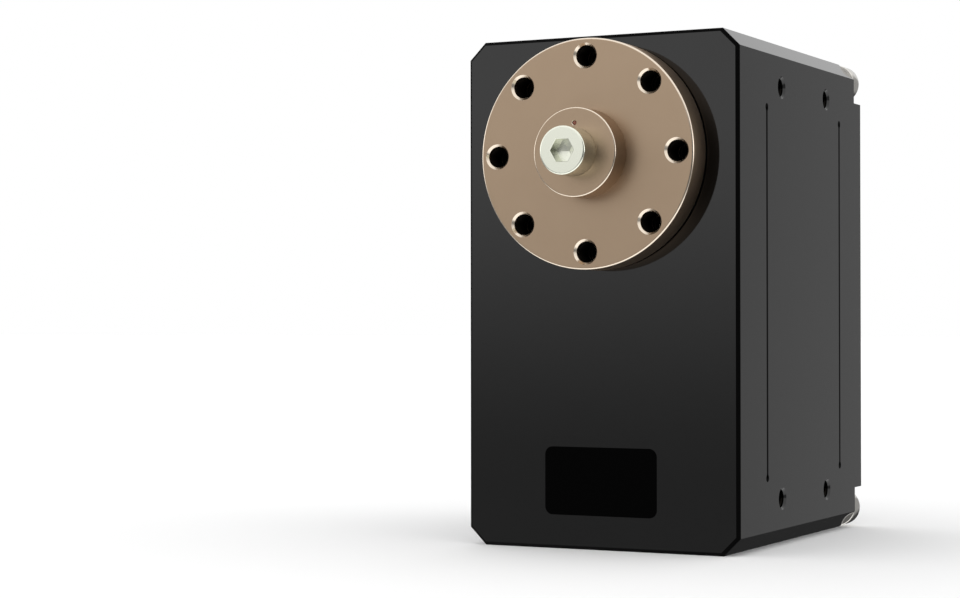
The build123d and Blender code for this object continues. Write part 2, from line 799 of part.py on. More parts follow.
# Output shaft, stepped down towards the rear, with the splined nose and the magnet end.
gear_seat_end_y = output_gear_end_y + shaft_shoulder_gap
rear_journal_y = rear_bearing_y - shaft_shoulder_gap
tail_y = rear_bearing_end_y + shaft_shoulder_gap
shaft_corners = [
    (0, horn_thickness),
    (shaft_radius, horn_thickness),
    (shaft_radius, output_gear_y),
    (shaft_gear_radius, output_gear_y),
    (shaft_gear_radius, gear_seat_end_y),
    (shaft_middle_radius, gear_seat_end_y),
    (shaft_middle_radius, rear_journal_y),
    (shaft_rear_radius, rear_journal_y),
    (shaft_rear_radius, tail_y),
    (shaft_tail_radius, tail_y),
    (shaft_tail_radius, encoder_magnet_y),
    (0, encoder_magnet_y),
]
with BuildPart() as output_shaft:
    revolve(turned_profile(shaft_corners), axis=Axis.Y)
    spline_y = horn_pocket_floor + spline_end_gap
    extrude(spline_outline(0, spline_y), amount=spline_y - horn_thickness)
    round_hole([output_axis], horn_screw_radius + seat_clearance, spline_y, horn_screw_length)
save(output_shaft, "output_shaft")

# Output gear: toothed rim and hub joined by a thinned web with lightening holes.
output_gear_root = output_gear_tip - (addendum_factor + dedendum_factor) * output_stage_module
web_outer_radius = output_gear_root - rim_thickness
web_inner_radius = shaft_gear_radius + gear_hub_thickness
with BuildPart() as output_gear:
    first_gap = gap_towards(output_stage_teeth, output_axis, left_pin_axis)
    toothed_ring(
        output_stage_teeth, output_stage_module, output_axis, first_gap, output_gear_y, output_gear_end_y
    )
    for start in (output_gear_y, output_gear_end_y - web_recess):
        with BuildSketch(depth_plane(start)):
            Circle(web_outer_radius)
            Circle(web_inner_radius, mode=Mode.SUBTRACT)
        extrude(amount=-web_recess, mode=Mode.SUBTRACT)
    with BuildSketch(depth_plane(output_gear_y)):
        with PolarLocations((web_outer_radius + web_inner_radius) / 2, web_hole_count):
            Circle(web_hole_radius)
    extrude(amount=-output_gear_width, mode=Mode.SUBTRACT)
    round_hole([output_axis], shaft_gear_radius + seat_clearance, output_gear_y, output_gear_end_y)
save(output_gear, "output_gear")


def reduction_gear(axis, wheel_teeth, wheel_module, driver, wheel_y, wheel_end, pinion_module, driven, start):
    """Wheel and pinion in one piece, bored for its pin, in mesh with its driver and its driven wheel."""
    with BuildPart() as gear:
        wheel_angle = gap_towards(wheel_teeth, axis, driver)
        toothed_ring(wheel_teeth, wheel_module, axis, wheel_angle, wheel_y, wheel_end)
        pinion_angle = direction(axis, driven)
        toothed_ring(pinion_teeth, pinion_module, axis, pinion_angle, start, wheel_y)
        round_hole([axis], pin_radius + running_clearance, start, wheel_end)
    return gear


# Reduction gears, from the one beside the output gear back to the one beside the motor.
third_gear = reduction_gear(
    left_pin_axis,
    middle_stage_teeth,
    middle_stage_module,
    right_pin_axis,
    third_wheel_y,
    third_wheel_end_y,
    output_stage_module,
    output_axis,
    third_gear_y,
)
save(third_gear, "third_gear")

second_gear = reduction_gear(
    right_pin_axis,
    middle_stage_teeth,
    middle_stage_module,
    left_pin_axis,
    second_wheel_y,
    second_wheel_end_y,
    middle_stage_module,
    left_pin_axis,
    second_gear_y,
)
save(second_gear, "second_gear")

first_gear = reduction_gear(
    left_pin_axis,
    motor_stage_teeth,
    motor_stage_module,
    motor_axis,
    first_wheel_y,
    first_wheel_end_y,
    middle_stage_module,
    right_pin_axis,
    first_gear_y,
)
save(first_gear, "first_gear")

# Fixed pins of the reduction gears, with the washer and the sleeve that keep the gears apart.
for name, axis in (("left_gear_pin", left_pin_axis), ("right_gear_pin", right_pin_axis)):
    with BuildPart() as gear_pin:
        round_bar([axis], pin_radius, pin_start_y + end_clearance, pin_end_y - end_clearance)
        chamfer(gear_pin.edges().filter_by(GeomType.CIRCLE), pin_bevel)
    save(gear_pin, name)

for name, axis, wall, start, end in (
    ("pin_washer", left_pin_axis, washer_width, third_wheel_end_y, first_gear_y),
    ("pin_sleeve", right_pin_axis, sleeve_wall, second_wheel_end_y, partition_y),
):
    with BuildPart() as spacer:
        round_bar([axis], pin_radius + wall, start + running_clearance, end - running_clearance)
        round_hole([axis], pin_radius + seat_clearance, start, end)
    save(spacer, name)

# Shaft seal: a ring in the front bore whose lip runs on the shaft.
seal_front_y = front_y + seal_face_gap
seal_rear_y = front_bearing_y - running_clearance
seal_lip_radius = shaft_radius + running_clearance
seal_lip_y = seal_front_y + seal_lip_start
shaft_seal = turned_piece(
    [
        (seal_body_radius, seal_front_y),
        (seal_outer_radius - seat_clearance, seal_front_y),
        (seal_outer_radius - seat_clearance, seal_rear_y),
        (seal_body_radius, seal_rear_y),
        (seal_lip_radius, seal_lip_y + seal_lip_width),
        (seal_lip_radius, seal_lip_y),
    ]
)
save(shaft_seal, "shaft_seal")

# Ball bearings of the output shaft.
front_bearing = (front_bearing_y, front_bearing_width, front_bearing_bore, front_bearing_section)
rear_bearing = (rear_bearing_y, rear_bearing_width, rear_bearing_bore, rear_bearing_section)
for place, sizes, ball_count in (
    ("front", front_bearing, front_bearing_ball_count),
    ("rear", rear_bearing, rear_bearing_ball_count),
):
    start, width, bore, section = sizes
    outside = bore + section
    ball_circle = bore + section / 2
    ball_radius = section * ball_share
    ring_wall = section * ring_share
    groove = ball_radius + running_clearance
    inner_ring = bearing_ring(bore, bore + ring_wall, groove, ball_circle, start, width)
    outer_ring = bearing_ring(outside - ring_wall, outside, groove, ball_circle, start, width)
    balls = caged_balls(ball_circle, ball_radius, ball_count, section * cage_share, start + width / 2)
    save(inner_ring, f"{place}_bearing_inner")
    save(outer_ring, f"{place}_bearing_outer")
    save(balls, f"{place}_bearing_balls")

# Motor: deep-drawn can, end cap, magnet, hollow winding on its shaft, bushes and pinion.
with BuildPart() as motor_can:
    round_bar([motor_axis], motor_radius, motor_y, can_open_y)
    round_hole([motor_axis], motor_radius - motor_wall, can_floor_y, can_open_y)
    round_hole([motor_axis], bush_radius, motor_y, can_floor_y)
    round_hole(motor_screw_points, motor_screw_radius + seat_clearance, motor_y, can_floor_y)
save(motor_can, "motor_can")

spigot_radius = motor_radius - motor_wall - seat_clearance
spigot_y = can_open_y - motor_spigot
with BuildPart() as motor_end_cap:
    round_bar([motor_axis], motor_radius, can_open_y, motor_rear_y)
    chamfer(rear_rim(motor_end_cap), motor_cap_bevel)
    round_bar([motor_axis], spigot_radius, spigot_y, can_open_y)
    round_hole([motor_axis], spigot_radius - motor_spigot_wall, spigot_y, can_open_y)
    round_hole([motor_axis], bush_radius, can_open_y, motor_rear_y)
    slot_y = motor_rear_y - motor_slot_depth
    with BuildSketch(depth_plane(slot_y)):
        with Locations(*[(side * motor_slot_offset, motor_axis[1]) for side in (-1, 1)]):
            SlotOverall(motor_slot_length, motor_slot_width, rotation=90)
    extrude(amount=-motor_slot_depth, mode=Mode.SUBTRACT)
save(motor_end_cap, "motor_end_cap")

coil_y = can_floor_y + coil_front_gap
coil_end_y = can_open_y - coil_rear_gap
coil_disc_y = coil_end_y - coil_disc
motor_magnet = turned_piece(
    [
        (motor_shaft_radius + magnet_bore_gap, can_floor_y),
        (magnet_radius, can_floor_y),
        (magnet_radius, coil_disc_y - magnet_end_gap),
        (motor_shaft_radius + magnet_bore_gap, coil_disc_y - magnet_end_gap),
    ],
    motor_axis,
)
save(motor_magnet, "motor_magnet")

coil_bore_radius = motor_shaft_radius + seat_clearance
motor_coil = turned_piece(
    [
        (coil_inner_radius, coil_y),
        (coil_outer_radius, coil_y),
        (coil_outer_radius, coil_end_y),
        (coil_hub_radius, coil_end_y),
        (coil_hub_radius, coil_end_y + coil_hub_height),
        (coil_bore_radius, coil_end_y + coil_hub_height),
        (coil_bore_radius, coil_disc_y),
        (coil_inner_radius, coil_disc_y),
    ],
    motor_axis,
)
save(motor_coil, "motor_coil")

with BuildPart() as motor_shaft:
    round_bar([motor_axis], motor_shaft_radius, motor_pinion_y, motor_rear_y - motor_shaft_recess)
save(motor_shaft, "motor_shaft")

with BuildPart() as motor_pinion:
    pinion_angle = direction(motor_axis, left_pin_axis)
    toothed_ring(
        pinion_teeth, motor_stage_module, motor_axis, pinion_angle, motor_pinion_y, motor_pinion_end_y
    )
    round_hole([motor_axis], coil_bore_radius, motor_pinion_y, motor_pinion_end_y)
save(motor_pinion, "motor_pinion")

for name, start, end in (
    ("motor_front_bush", motor_y - bush_nose, can_floor_y),
    ("motor_rear_bush", can_open_y - bush_nose, motor_rear_y),
):
    with BuildPart() as bush:
        round_bar([motor_axis], bush_radius - seat_clearance, start, end)
        round_hole([motor_axis], motor_shaft_radius + running_clearance, start, end)
    save(bush, name)

for side, point in zip(("left", "right"), motor_screw_points):
    motor_screw = socket_screw(
        point,
        motor_screw_head_radius,
        motor_screw_head_height,
        motor_screw_radius,
        screw_sink_y,
        can_floor_y - end_clearance,
        motor_screw_socket,
        socket_level,
    )
    save(motor_screw, f"motor_screw_{side}")

# Encoder: magnet on the tail of the shaft, board on two posts, and the sensor that faces it.
with BuildPart() as encoder_magnet:
    round_bar([output_axis], shaft_tail_radius, encoder_magnet_y, encoder_magnet_end_y)
save(encoder_magnet, "encoder_magnet")

with BuildPart() as encoder_board:
    with BuildSketch(depth_plane(encoder_board_y)):
        RectangleRounded(2 * encoder_half_width, encoder_board_height, encoder_board_corner)
        with Locations(*encoder_screw_points):
            Circle(encoder_screw_radius + screw_clearance, mode=Mode.SUBTRACT)
    extrude(amount=-encoder_board_thickness)
save(encoder_board, "encoder_board")

with BuildPart() as encoder_chip:
    with BuildSketch(depth_plane(encoder_board_y - encoder_chip_thickness)):
        Rectangle(encoder_chip_size, encoder_chip_size)
    extrude(amount=-encoder_chip_thickness)
    chamfer(front_rim(encoder_chip), chip_bevel)
save(encoder_chip, "encoder_chip")

for side, point in zip(("left", "right"), encoder_screw_points):
    encoder_screw = socket_screw(
        point,
        encoder_screw_head_radius,
        encoder_screw_head_height,
        encoder_screw_radius,
        encoder_rear_y,
        block_rear_y - encoder_screw_depth + end_clearance,
        encoder_screw_socket,
        socket_upright,
    )
    save(encoder_screw, f"encoder_screw_{side}")

# Control board below the recess, held to the rear cover, with its larger components.
with BuildPart() as control_board:
    with BuildSketch(depth_plane(control_board_y)) as board_shape:
        with Locations((0, (board_top + board_bottom) / 2)):
            Rectangle(2 * board_half_width, board_top - board_bottom)
        fillet(board_shape.vertices().group_by(Axis.Y)[0], cavity_corner - board_edge_gap)
        with Locations(*board_screw_points):
            Circle(board_screw_radius + screw_clearance, mode=Mode.SUBTRACT)
    extrude(amount=-control_board_thickness)
save(control_board, "control_board")

for name, width, height, thickness, x, drop in (
    ("processor_chip", processor_size, processor_size, processor_thickness, -processor_left, processor_drop),
    ("driver_chip", driver_size, driver_size, driver_thickness, driver_right, driver_drop),
    (
        "power_capacitor",
        capacitor_length,
        capacitor_width,
        capacitor_thickness,
        capacitor_right,
        capacitor_drop,
    ),
):
    with BuildPart() as component:
        with BuildSketch(depth_plane(board_rear_y)):
            with Locations((x, board_top - drop)):
                Rectangle(width, height)
        extrude(amount=-thickness)
        chamfer(rear_rim(component), chip_bevel)
    save(component, name)

for side, point in zip(("left", "right"), board_screw_points):
    board_screw = socket_screw(
        point,
        board_screw_head_radius,
        board_screw_head_height,
        board_screw_radius,
        control_board_y,
        board_hole_end_y - end_clearance,
        board_screw_socket,
        socket_upright,
    )
    save(board_screw, f"board_screw_{side}")

# Flat ribbon that joins the two boards: off the rear of the encoder board, between the motor and
# the ceiling, round the edge of the ceiling and onto the front of the control board.
ribbon_half = ribbon_thickness / 2
ribbon_x = encoder_half_width - ribbon_side_gap - ribbon_width / 2
encoder_edge_z = -encoder_board_height / 2
ribbon_fold_z = encoder_edge_z - ribbon_edge_gap
ribbon_ceiling_y = upper_ceiling_y - ribbon_ceiling_gap - ribbon_half
ribbon_drop_z = lower_hollow_top - ribbon_ceiling_gap - ribbon_half
ribbon_route = [
    (encoder_rear_y + ribbon_half, encoder_edge_z + ribbon_tab),
    (encoder_rear_y + ribbon_half, ribbon_fold_z),
    (ribbon_ceiling_y, ribbon_fold_z),
    (ribbon_ceiling_y, ribbon_drop_z),
    (control_board_y - ribbon_half, ribbon_drop_z),
    (control_board_y - ribbon_half, ribbon_drop_z - ribbon_overlap),
]
with BuildPart() as link_ribbon:
    with BuildSketch(Plane.YZ.offset(ribbon_x - ribbon_width / 2)) as ribbon_section:
        with BuildLine() as ribbon_line:
            Polyline(*ribbon_route)
            offset(amount=ribbon_half, side=Side.BOTH)
        make_face(ribbon_line.edges())
    extrude(amount=ribbon_width)
save(link_ribbon, "link_ribbon")

# Round connector: threaded shell with a collar, insulator, contacts, nut and flat seal.
collar_end_y = recess_floor_y + connector_collar_height
connector_shell = turned_piece(
    [
        (connector_bore_radius, connector_tail_y),
        (connector_radius, connector_tail_y),
        (connector_radius, recess_floor_y),
        (connector_collar_radius, recess_floor_y),
        (connector_collar_radius, collar_end_y - edge_bevel),
        (connector_collar_radius - edge_bevel, collar_end_y),
        (connector_radius, collar_end_y),
        (connector_radius, connector_rim_y - connector_rim_bevel),
        (connector_radius - connector_rim_bevel, connector_rim_y),
        (connector_bore_radius, connector_rim_y),
    ]
)
save(connector_shell, "connector_shell")

contact_angles = [2 * pi * number / contact_count for number in range(contact_count)]
contact_points = [
    (contact_circle_radius * cos(angle), contact_circle_radius * sin(angle)) for angle in contact_angles
]
with BuildPart() as connector_insulator:
    insulator_radius = connector_bore_radius - seat_clearance
    round_bar([output_axis], insulator_radius, connector_tail_y, insulator_face_y)
    chamfer(rear_rim(connector_insulator), insulator_bevel)
    round_hole(contact_points, contact_radius + seat_clearance, connector_tail_y, insulator_face_y)
save(connector_insulator, "connector_insulator")

for number, point in enumerate(contact_points, start=1):
    with BuildPart() as contact:
        round_bar([point], contact_radius, connector_tail_y - contact_tail, rear_y - contact_sink)
        fillet(rear_rim(contact), contact_tip_round)
    save(contact, f"connector_contact_{number}")

with BuildPart() as connector_nut:
    with BuildSketch(depth_plane(upper_ceiling_y - nut_thickness)):
        RegularPolygon(connector_radius + nut_wall, 6, major_radius=False)
        Circle(connector_radius + seat_clearance, mode=Mode.SUBTRACT)
    extrude(amount=-nut_thickness)
save(connector_nut, "connector_nut")

with BuildPart() as connector_seal:
    with BuildSketch(depth_plane(connector_seal_y)):
        Circle(connector_seal_radius - seat_clearance)
        Circle(connector_radius + seat_clearance, mode=Mode.SUBTRACT)
    extrude(amount=-connector_seal_thickness)
save(connector_seal, "connector_seal")

# Four corner screws that clamp the rear cover and the middle case to the front case.
for number, point in enumerate(corner_points, start=1):
    corner_screw = socket_screw(
        point,
        corner_head_radius,
        corner_head_height,
        corner_shank_radius,
        head_seat_y,
        corner_hole_y + end_clearance,
        corner_socket,
        socket_upright,
    )
    save(corner_screw, f"corner_screw_{number}")
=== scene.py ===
# %% [markdown]
# # A small robot joint actuator
#
# The object is a servo module for robot joints. A tall black housing holds a motor and its
# gears. A flat tan disc on the front, the output horn, turns and carries the next link of the
# robot. A round connector sits in a recess at the back.
#
# The housing and the mechanism come from a CAD model, so their shapes and places are already
# right. This lesson dresses that model: it sets up the camera and the light, writes a material
# for every surface, and rebuilds the pieces that are seen from near, with the small roundings
# and threads that a plain solid leaves out.

# %% Load the CAD model
from math import cos, pi, radians, sin

import bmesh
import bpy
from mathutils import Matrix, Vector


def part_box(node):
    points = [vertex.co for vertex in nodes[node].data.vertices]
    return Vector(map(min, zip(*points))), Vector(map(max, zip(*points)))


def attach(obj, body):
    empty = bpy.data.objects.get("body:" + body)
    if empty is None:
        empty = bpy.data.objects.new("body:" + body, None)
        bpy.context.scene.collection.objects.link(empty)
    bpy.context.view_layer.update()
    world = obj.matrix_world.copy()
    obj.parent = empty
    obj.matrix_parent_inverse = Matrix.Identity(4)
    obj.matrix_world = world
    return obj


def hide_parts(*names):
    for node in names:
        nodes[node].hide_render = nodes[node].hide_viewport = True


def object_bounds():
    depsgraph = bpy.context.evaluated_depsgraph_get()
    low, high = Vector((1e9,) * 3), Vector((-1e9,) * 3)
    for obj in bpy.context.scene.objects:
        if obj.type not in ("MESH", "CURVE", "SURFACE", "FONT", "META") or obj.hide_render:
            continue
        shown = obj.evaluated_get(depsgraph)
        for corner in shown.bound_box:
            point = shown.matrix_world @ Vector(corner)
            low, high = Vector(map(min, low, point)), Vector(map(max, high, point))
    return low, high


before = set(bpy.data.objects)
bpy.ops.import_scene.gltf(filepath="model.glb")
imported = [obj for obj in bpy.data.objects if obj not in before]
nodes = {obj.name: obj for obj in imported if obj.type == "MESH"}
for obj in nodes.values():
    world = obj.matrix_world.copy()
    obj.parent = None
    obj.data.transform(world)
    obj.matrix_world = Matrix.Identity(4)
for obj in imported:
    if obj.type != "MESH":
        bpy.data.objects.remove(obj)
cad_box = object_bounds()

# %% [markdown]
# ## Units
#
# Everything in this file is given in millimetres, because that is how such a part is drawn,
# and one function turns millimetres into the metres that Blender works in. The output axis is
# the line x = 0, z = 0. The front looks along -Y and +Z is up.

# %% Millimetres
MM = 0.001


def mm(*values):
    """Turns millimetres into a vector in metres."""
    return Vector(values) * MM


# %% [markdown]
# ## The camera
#
# The lens and the place of the camera set the proportions of everything else, so they come
# first. The picture was taken with a long lens from a little to the right, almost level with
# the middle of the housing. The actuator stands in the right half of the picture, so the
# camera aims at a point beside it instead of being shifted.

# %% Camera
camera_azimuth = radians(27.262)
camera_elevation = -0.0096
camera_roll = -0.001
camera_distance = 273.25
camera_aim = mm(-21.07, 15.15, -16.03)
sensor_width = 36.0
focal_length = 83.853

towards_camera = Vector(
    (
        sin(camera_azimuth) * cos(camera_elevation),
        -cos(camera_azimuth) * cos(camera_elevation),
        sin(camera_elevation),
    )
)
lens = bpy.data.cameras.new("studio_camera")
lens.sensor_width = sensor_width
lens.lens = focal_length
lens.clip_start = 0.01
camera = bpy.data.objects.new("studio_camera", lens)
bpy.context.scene.collection.objects.link(camera)
turn = towards_camera.to_track_quat("Z", "Y").to_matrix().to_4x4()
camera.matrix_world = (
    Matrix.Translation(camera_aim + towards_camera * camera_distance * MM)
    @ turn
    @ Matrix.Rotation(camera_roll, 4, "Z")
)
bpy.context.scene.camera = camera
bpy.context.scene.view_settings.view_transform = "Standard"
print("camera at", [round(value / MM, 1) for value in camera.location])

# %% [markdown]
# ## Two helpers for shaders
#
# Colours are written as the sRGB hex values that a paint chart or a picture editor shows.
# Shaders need linear light, so one function does the conversion. A second function adds a
# node, sets it up and wires it, which keeps every material short enough to read at a glance.


# %% Shader helpers
def colour(hex_value):
    """Linear colour, with alpha, of an sRGB hex value such as 9e8a76."""
    channels = [int(hex_value[start : start + 2], 16) / 255 for start in (0, 2, 4)]
    linear = [c / 12.92 if c <= 0.04045 else ((c + 0.055) / 1.055) ** 2.4 for c in channels]
    return (*linear, 1.0)


def add_node(tree, kind, settings=None, inputs=None):
    """Adds a node. An input is given either a value or the socket that feeds it."""
    node = tree.nodes.new(kind)
    for name, value in (settings or {}).items():
        setattr(node, name, value)
    for name, value in (inputs or {}).items():
        if isinstance(value, bpy.types.NodeSocket):
            tree.links.new(value, node.inputs[name])
        else:
            node.inputs[name].default_value = value
    return node


print("white is", colour("ffffff"))

# %% [markdown]
# ## Studio light
#
# Polished black shows almost nothing but its surroundings, so the light is built as what the
# housing mirrors. The room is a white wall all round that fades to grey just below eye level,
# which gives the slow change from grey to black down every upright face. The ground is bright
# again near the object. Over that lie a few round soft patches: grey, pale and black cards for
# the side and the long chamfers to mirror, and two lamps that draw a light line round the horn.
# All of it is in the world shader, because area lamps would show hard edges in the coat.

# %% World: wall, ground and cards
wall_low, wall_high = 0.36, 1.22
# A fade runs between two heights: the Z of a direction, -1 straight down and 1 straight up.
wall_fade = (-0.075, 0.105)
ground_lift = 1.1
ground_fade = (-0.33, -0.55)
# Angles in degrees, azimuth from +X towards +Y. A card is even as far as its core angle and
# has faded out at its edge angle.
cards = {
    "grey_behind_side": {"azimuth": 70, "elevation": 1, "core": 13, "edge": 27, "level": 0.37},
    "black_right_front": {"azimuth": -55, "elevation": 0, "core": 18, "edge": 34, "level": 0.08},
    "black_low_behind": {"azimuth": 92, "elevation": -25, "core": 12, "edge": 24, "level": 0.05},
    "pale_high_behind": {"azimuth": 98, "elevation": 23, "core": 13, "edge": 22, "level": 0.85},
    "lamp_right": {"azimuth": 14, "elevation": 4, "core": 6, "edge": 14, "level": 3.5},
    "lamp_left": {"azimuth": 190, "elevation": 6, "core": 6, "edge": 16, "level": 2.4},
}

world = bpy.data.worlds.new("studio")
world.use_nodes = True
bpy.context.scene.world = world
tree = world.node_tree
tree.nodes.clear()
direction = add_node(tree, "ShaderNodeTexCoord").outputs["Generated"]
height = add_node(tree, "ShaderNodeSeparateXYZ", inputs={"Vector": direction}).outputs["Z"]


def soft_step(value, start, end, low, high):
    """Smooth change from low to high between two values."""
    limits = {"Value": value, "From Min": start, "From Max": end, "To Min": low, "To Max": high}
    step = add_node(tree, "ShaderNodeMapRange", {"interpolation_type": "SMOOTHSTEP"}, limits)
    return step.outputs["Result"]


wall = soft_step(height, *wall_fade, wall_low, wall_high)
ground = soft_step(height, *ground_fade, 0.0, ground_lift)
level = add_node(tree, "ShaderNodeMath", {"operation": "ADD"}, {0: wall, 1: ground}).outputs["Value"]
for card in cards.values():
    azimuth, elevation = radians(card["azimuth"]), radians(card["elevation"])
    middle = (cos(azimuth) * cos(elevation), sin(azimuth) * cos(elevation), sin(elevation))
    facing = add_node(
        tree, "ShaderNodeVectorMath", {"operation": "DOT_PRODUCT"}, {0: direction, 1: middle}
    ).outputs["Value"]
    edge, core = cos(radians(card["edge"])), cos(radians(card["core"]))
    level = soft_step(facing, edge, core, level, card["level"])
light = add_node(
    tree, "ShaderNodeBackground", inputs={"Color": colour("ffffff"), "Strength": level}
)
add_node(tree, "ShaderNodeOutputWorld", inputs={"Surface": light.outputs["Background"]})
print("cards:", ", ".join(cards))


# %% [markdown]
# ## Building meshes
#
# Nearly every small piece here is turned on a lathe, so the main helper spins a half section
# round an axis. `turned` takes corners as (radius, depth) in millimetres, where depth is the
# distance along +Y. The edges are left sharp by the spin and rounded afterwards with a bevel,
# exactly as a real edge is broken after turning.


# %% Mesh helpers
merge_distance = 0.0001 * MM
sharp_angle = radians(40)
square_on = 0.9999


def turned(corners, steps=96, centre=(0.0, 0.0)):
    """Lathe section spun round the line parallel to Y through centre (x, z).

    A section that starts and ends on the axis stays open there, so that no wall lies on it.
    """
    bm = bmesh.new()
    rim = [bm.verts.new(mm(centre[0] + radius, depth, centre[1])) for radius, depth in corners]
    first = 1 if corners[0][0] == 0 else 0
    edges = [bm.edges.new((rim[i - 1], rim[i])) for i in range(first, len(rim))]
    bmesh.ops.spin(
        bm,
        geom=rim + edges,
        cent=mm(centre[0], 0, centre[1]),
        axis=(0, 1, 0),
        angle=2 * pi,
        steps=steps,
        use_merge=True,
    )
    bmesh.ops.remove_doubles(bm, verts=bm.verts, dist=merge_distance)
    bmesh.ops.recalc_face_normals(bm, faces=bm.faces)
    return bm


def ring_edges(bm, radius, depth, centre=(0.0, 0.0)):
    """Edges of the circle with this radius at this depth."""
    slack = 0.01
    found = []
    for edge in bm.edges:
        on_ring = True
        for vert in edge.verts:
            x, y, z = vert.co / MM
            from_axis = ((x - centre[0]) ** 2 + (z - centre[1]) ** 2) ** 0.5
            if abs(from_axis - radius) > slack or abs(y - depth) > slack:
                on_ring = False
        if on_ring:
            found.append(edge)
    return found


def round_edges(bm, edges, size, segments=4):
    """Breaks edges with a rounded bevel of a size in millimetres."""
    bmesh.ops.bevel(
        bm,
        geom=edges,
        offset=size * MM,
        offset_type="OFFSET",
        segments=segments,
        profile=0.5,
        affect="EDGES",
        material=-1,
        clamp_overlap=True,
    )


def finish_shading(mesh):
    """Smooth everywhere, but sharp at real corners and round faces square to X or Y."""
    mesh.shade_smooth()
    mesh.set_sharp_from_angle(angle=sharp_angle)
    bm = bmesh.new()
    bm.from_mesh(mesh)
    for face in bm.faces:
        if abs(face.normal.y) > square_on or abs(face.normal.x) > square_on:
            for edge in face.edges:
                edge.smooth = False
    bm.to_mesh(mesh)
    bm.free()


def make_object(bm, name):
    """Turns a bmesh into an object whose origin is the world origin, like the CAD pieces."""
    mesh = bpy.data.meshes.new(name)
    bm.to_mesh(mesh)
    bm.free()
    finish_shading(mesh)
    piece = bpy.data.objects.new(name, mesh)
    bpy.context.scene.collection.objects.link(piece)
    return piece


def cut(piece, cutters):
    """Cuts other objects out of a piece one by one and keeps the result as a plain mesh."""
    for cutter in cutters:
        modifier = piece.modifiers.new("cut", "BOOLEAN")
        modifier.operation = "DIFFERENCE"
        modifier.solver = "EXACT"
        modifier.object = cutter
    evaluated = piece.evaluated_get(bpy.context.evaluated_depsgraph_get())
    result = bpy.data.meshes.new_from_object(evaluated)
    piece.modifiers.clear()
    uncut = piece.data
    piece.data = result
    for old in [uncut] + [cutter.data for cutter in cutters]:
        bpy.data.meshes.remove(old)
    result.name = piece.name
    finish_shading(result)


def dress(piece, body, material, replaced=()):
    """Gives a piece its material, hangs it on the empty of its body and hides the CAD nodes it
    replaces.
    """
    piece.data.materials.clear()
    piece.data.materials.append(material)
    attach(piece, body)
    for node in replaced:
        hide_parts(node)
    print(piece.name, "has", len(piece.data.polygons), "faces")


def box_axis(low, high):
    """Place (x, z) in millimetres of the line parallel to Y through the middle of a box."""
    return (low[0] + high[0]) / 2 / MM, (low[2] + high[2]) / 2 / MM


print("mesh helpers ready")

# %% [markdown]
# ## Helpers for finishes
#
# A metal or a plastic is never one even colour. Each finish of the object mixes two close
# shades and two close roughness values with a pattern whose grain is a size in millimetres,
# and lets a grain lift the surface a little. The patterns read Object coordinates, so they
# stay on a piece when it turns.


# %% Finish helpers
def start_finish(name):
    """New material with its node tree and its Principled shader."""
    material = bpy.data.materials.new(name)
    material.use_nodes = True
    return material, material.node_tree, material.node_tree.nodes["Principled BSDF"]


def set_inputs(shader, **values):
    """Sets constants on the shader's own sockets, named with underscores for spaces."""
    for name, value in values.items():
        shader.inputs[name.replace("_", " ")].default_value = value


def grain_noise(tree, grain, detail=2.0, stretch=(1.0, 1.0, 1.0)):
    """Noise with a grain size in millimetres. Stretch squeezes it along x, y and z."""
    place = add_node(tree, "ShaderNodeTexCoord").outputs["Object"]
    spread = add_node(tree, "ShaderNodeMapping", inputs={"Vector": place, "Scale": stretch})
    return add_node(
        tree,
        "ShaderNodeTexNoise",
        inputs={
            "Vector": spread.outputs["Vector"],
            "Scale": 1 / (grain * MM),
            "Detail": detail,
        },
    ).outputs["Fac"]


def between(tree, value, low, high):
    """Maps a 0 to 1 value to a range."""
    return add_node(
        tree, "ShaderNodeMapRange", inputs={"Value": value, "To Min": low, "To Max": high}
    ).outputs["Result"]


def blend(tree, factor, first, second):
    """Mixes two hex colours."""
    return add_node(
        tree,
        "ShaderNodeMix",
        {"data_type": "RGBA"},
        {"Factor": factor, "A": colour(first), "B": colour(second)},
    ).outputs["Result"]


def wire(tree, shader, base=None, roughness=None, height=None, depth=0.0, strength=1.0):
    """Feeds patterns to the shader. The height pattern has a depth in millimetres."""
    if base is not None:
        tree.links.new(base, shader.inputs["Base Color"])
    if roughness is not None:
        tree.links.new(roughness, shader.inputs["Roughness"])
    if height is not None:
        bump = add_node(
            tree,
            "ShaderNodeBump",
            inputs={"Height": height, "Distance": depth * MM, "Strength": strength},
        )
        tree.links.new(bump.outputs["Normal"], shader.inputs["Normal"])


def put_on(material, *names):
    """Puts a finish on CAD nodes, in place of their plain colour."""
    for name in names:
        nodes[name].material_slots[0].material = material


print("finish helpers ready")

# %% [markdown]
# ## Black housing
#
# The three housing parts are aluminium with a smooth black hard coat. The coat is nearly pure
# black, and all that the eye gets is a sharp mirror image at the strength of a clear surface:
# faint when seen square on, stronger at a grazing angle. So this is not a metal shader but a
# black one with an ordinary IOR of 1.5. Clouds a few millimetres wide in its gloss and a very
# shallow orange peel keep it from looking computed.

# %% Finish of the housing
hard_coat, tree, shader = start_finish("black_hard_coated_aluminium")
set_inputs(shader, Metallic=0.0, IOR=1.5)
cloud = grain_noise(tree, grain=6.0)
orange_peel = grain_noise(tree, grain=0.5)
wire(
    tree,
    shader,
    base=blend(tree, cloud, "030303", "060606"),
    roughness=between(tree, cloud, 0.03, 0.07),
    height=orange_peel,
    depth=0.001,
    strength=0.15,
)
put_on(hard_coat, "middle_case")
print("hard coat ready")

# %% [markdown]
# ## Matt edges of the housing
#
# The edges of the front case and the rear cover are broken by a small bevel. They were tumbled
# before the coat, which left them rough, so they drink the light and draw every outline as a
# fine black line. A CAD node has one material, so its mesh is copied, the copy's loose
# triangles are merged, its stored normals are dropped, and the bevel faces get a second finish.
# They are easy to find: only they lean half way between the Y axis and the sides. The large
# flat faces and the long chamfers are shaded flat, so that the coat mirrors without a bend.

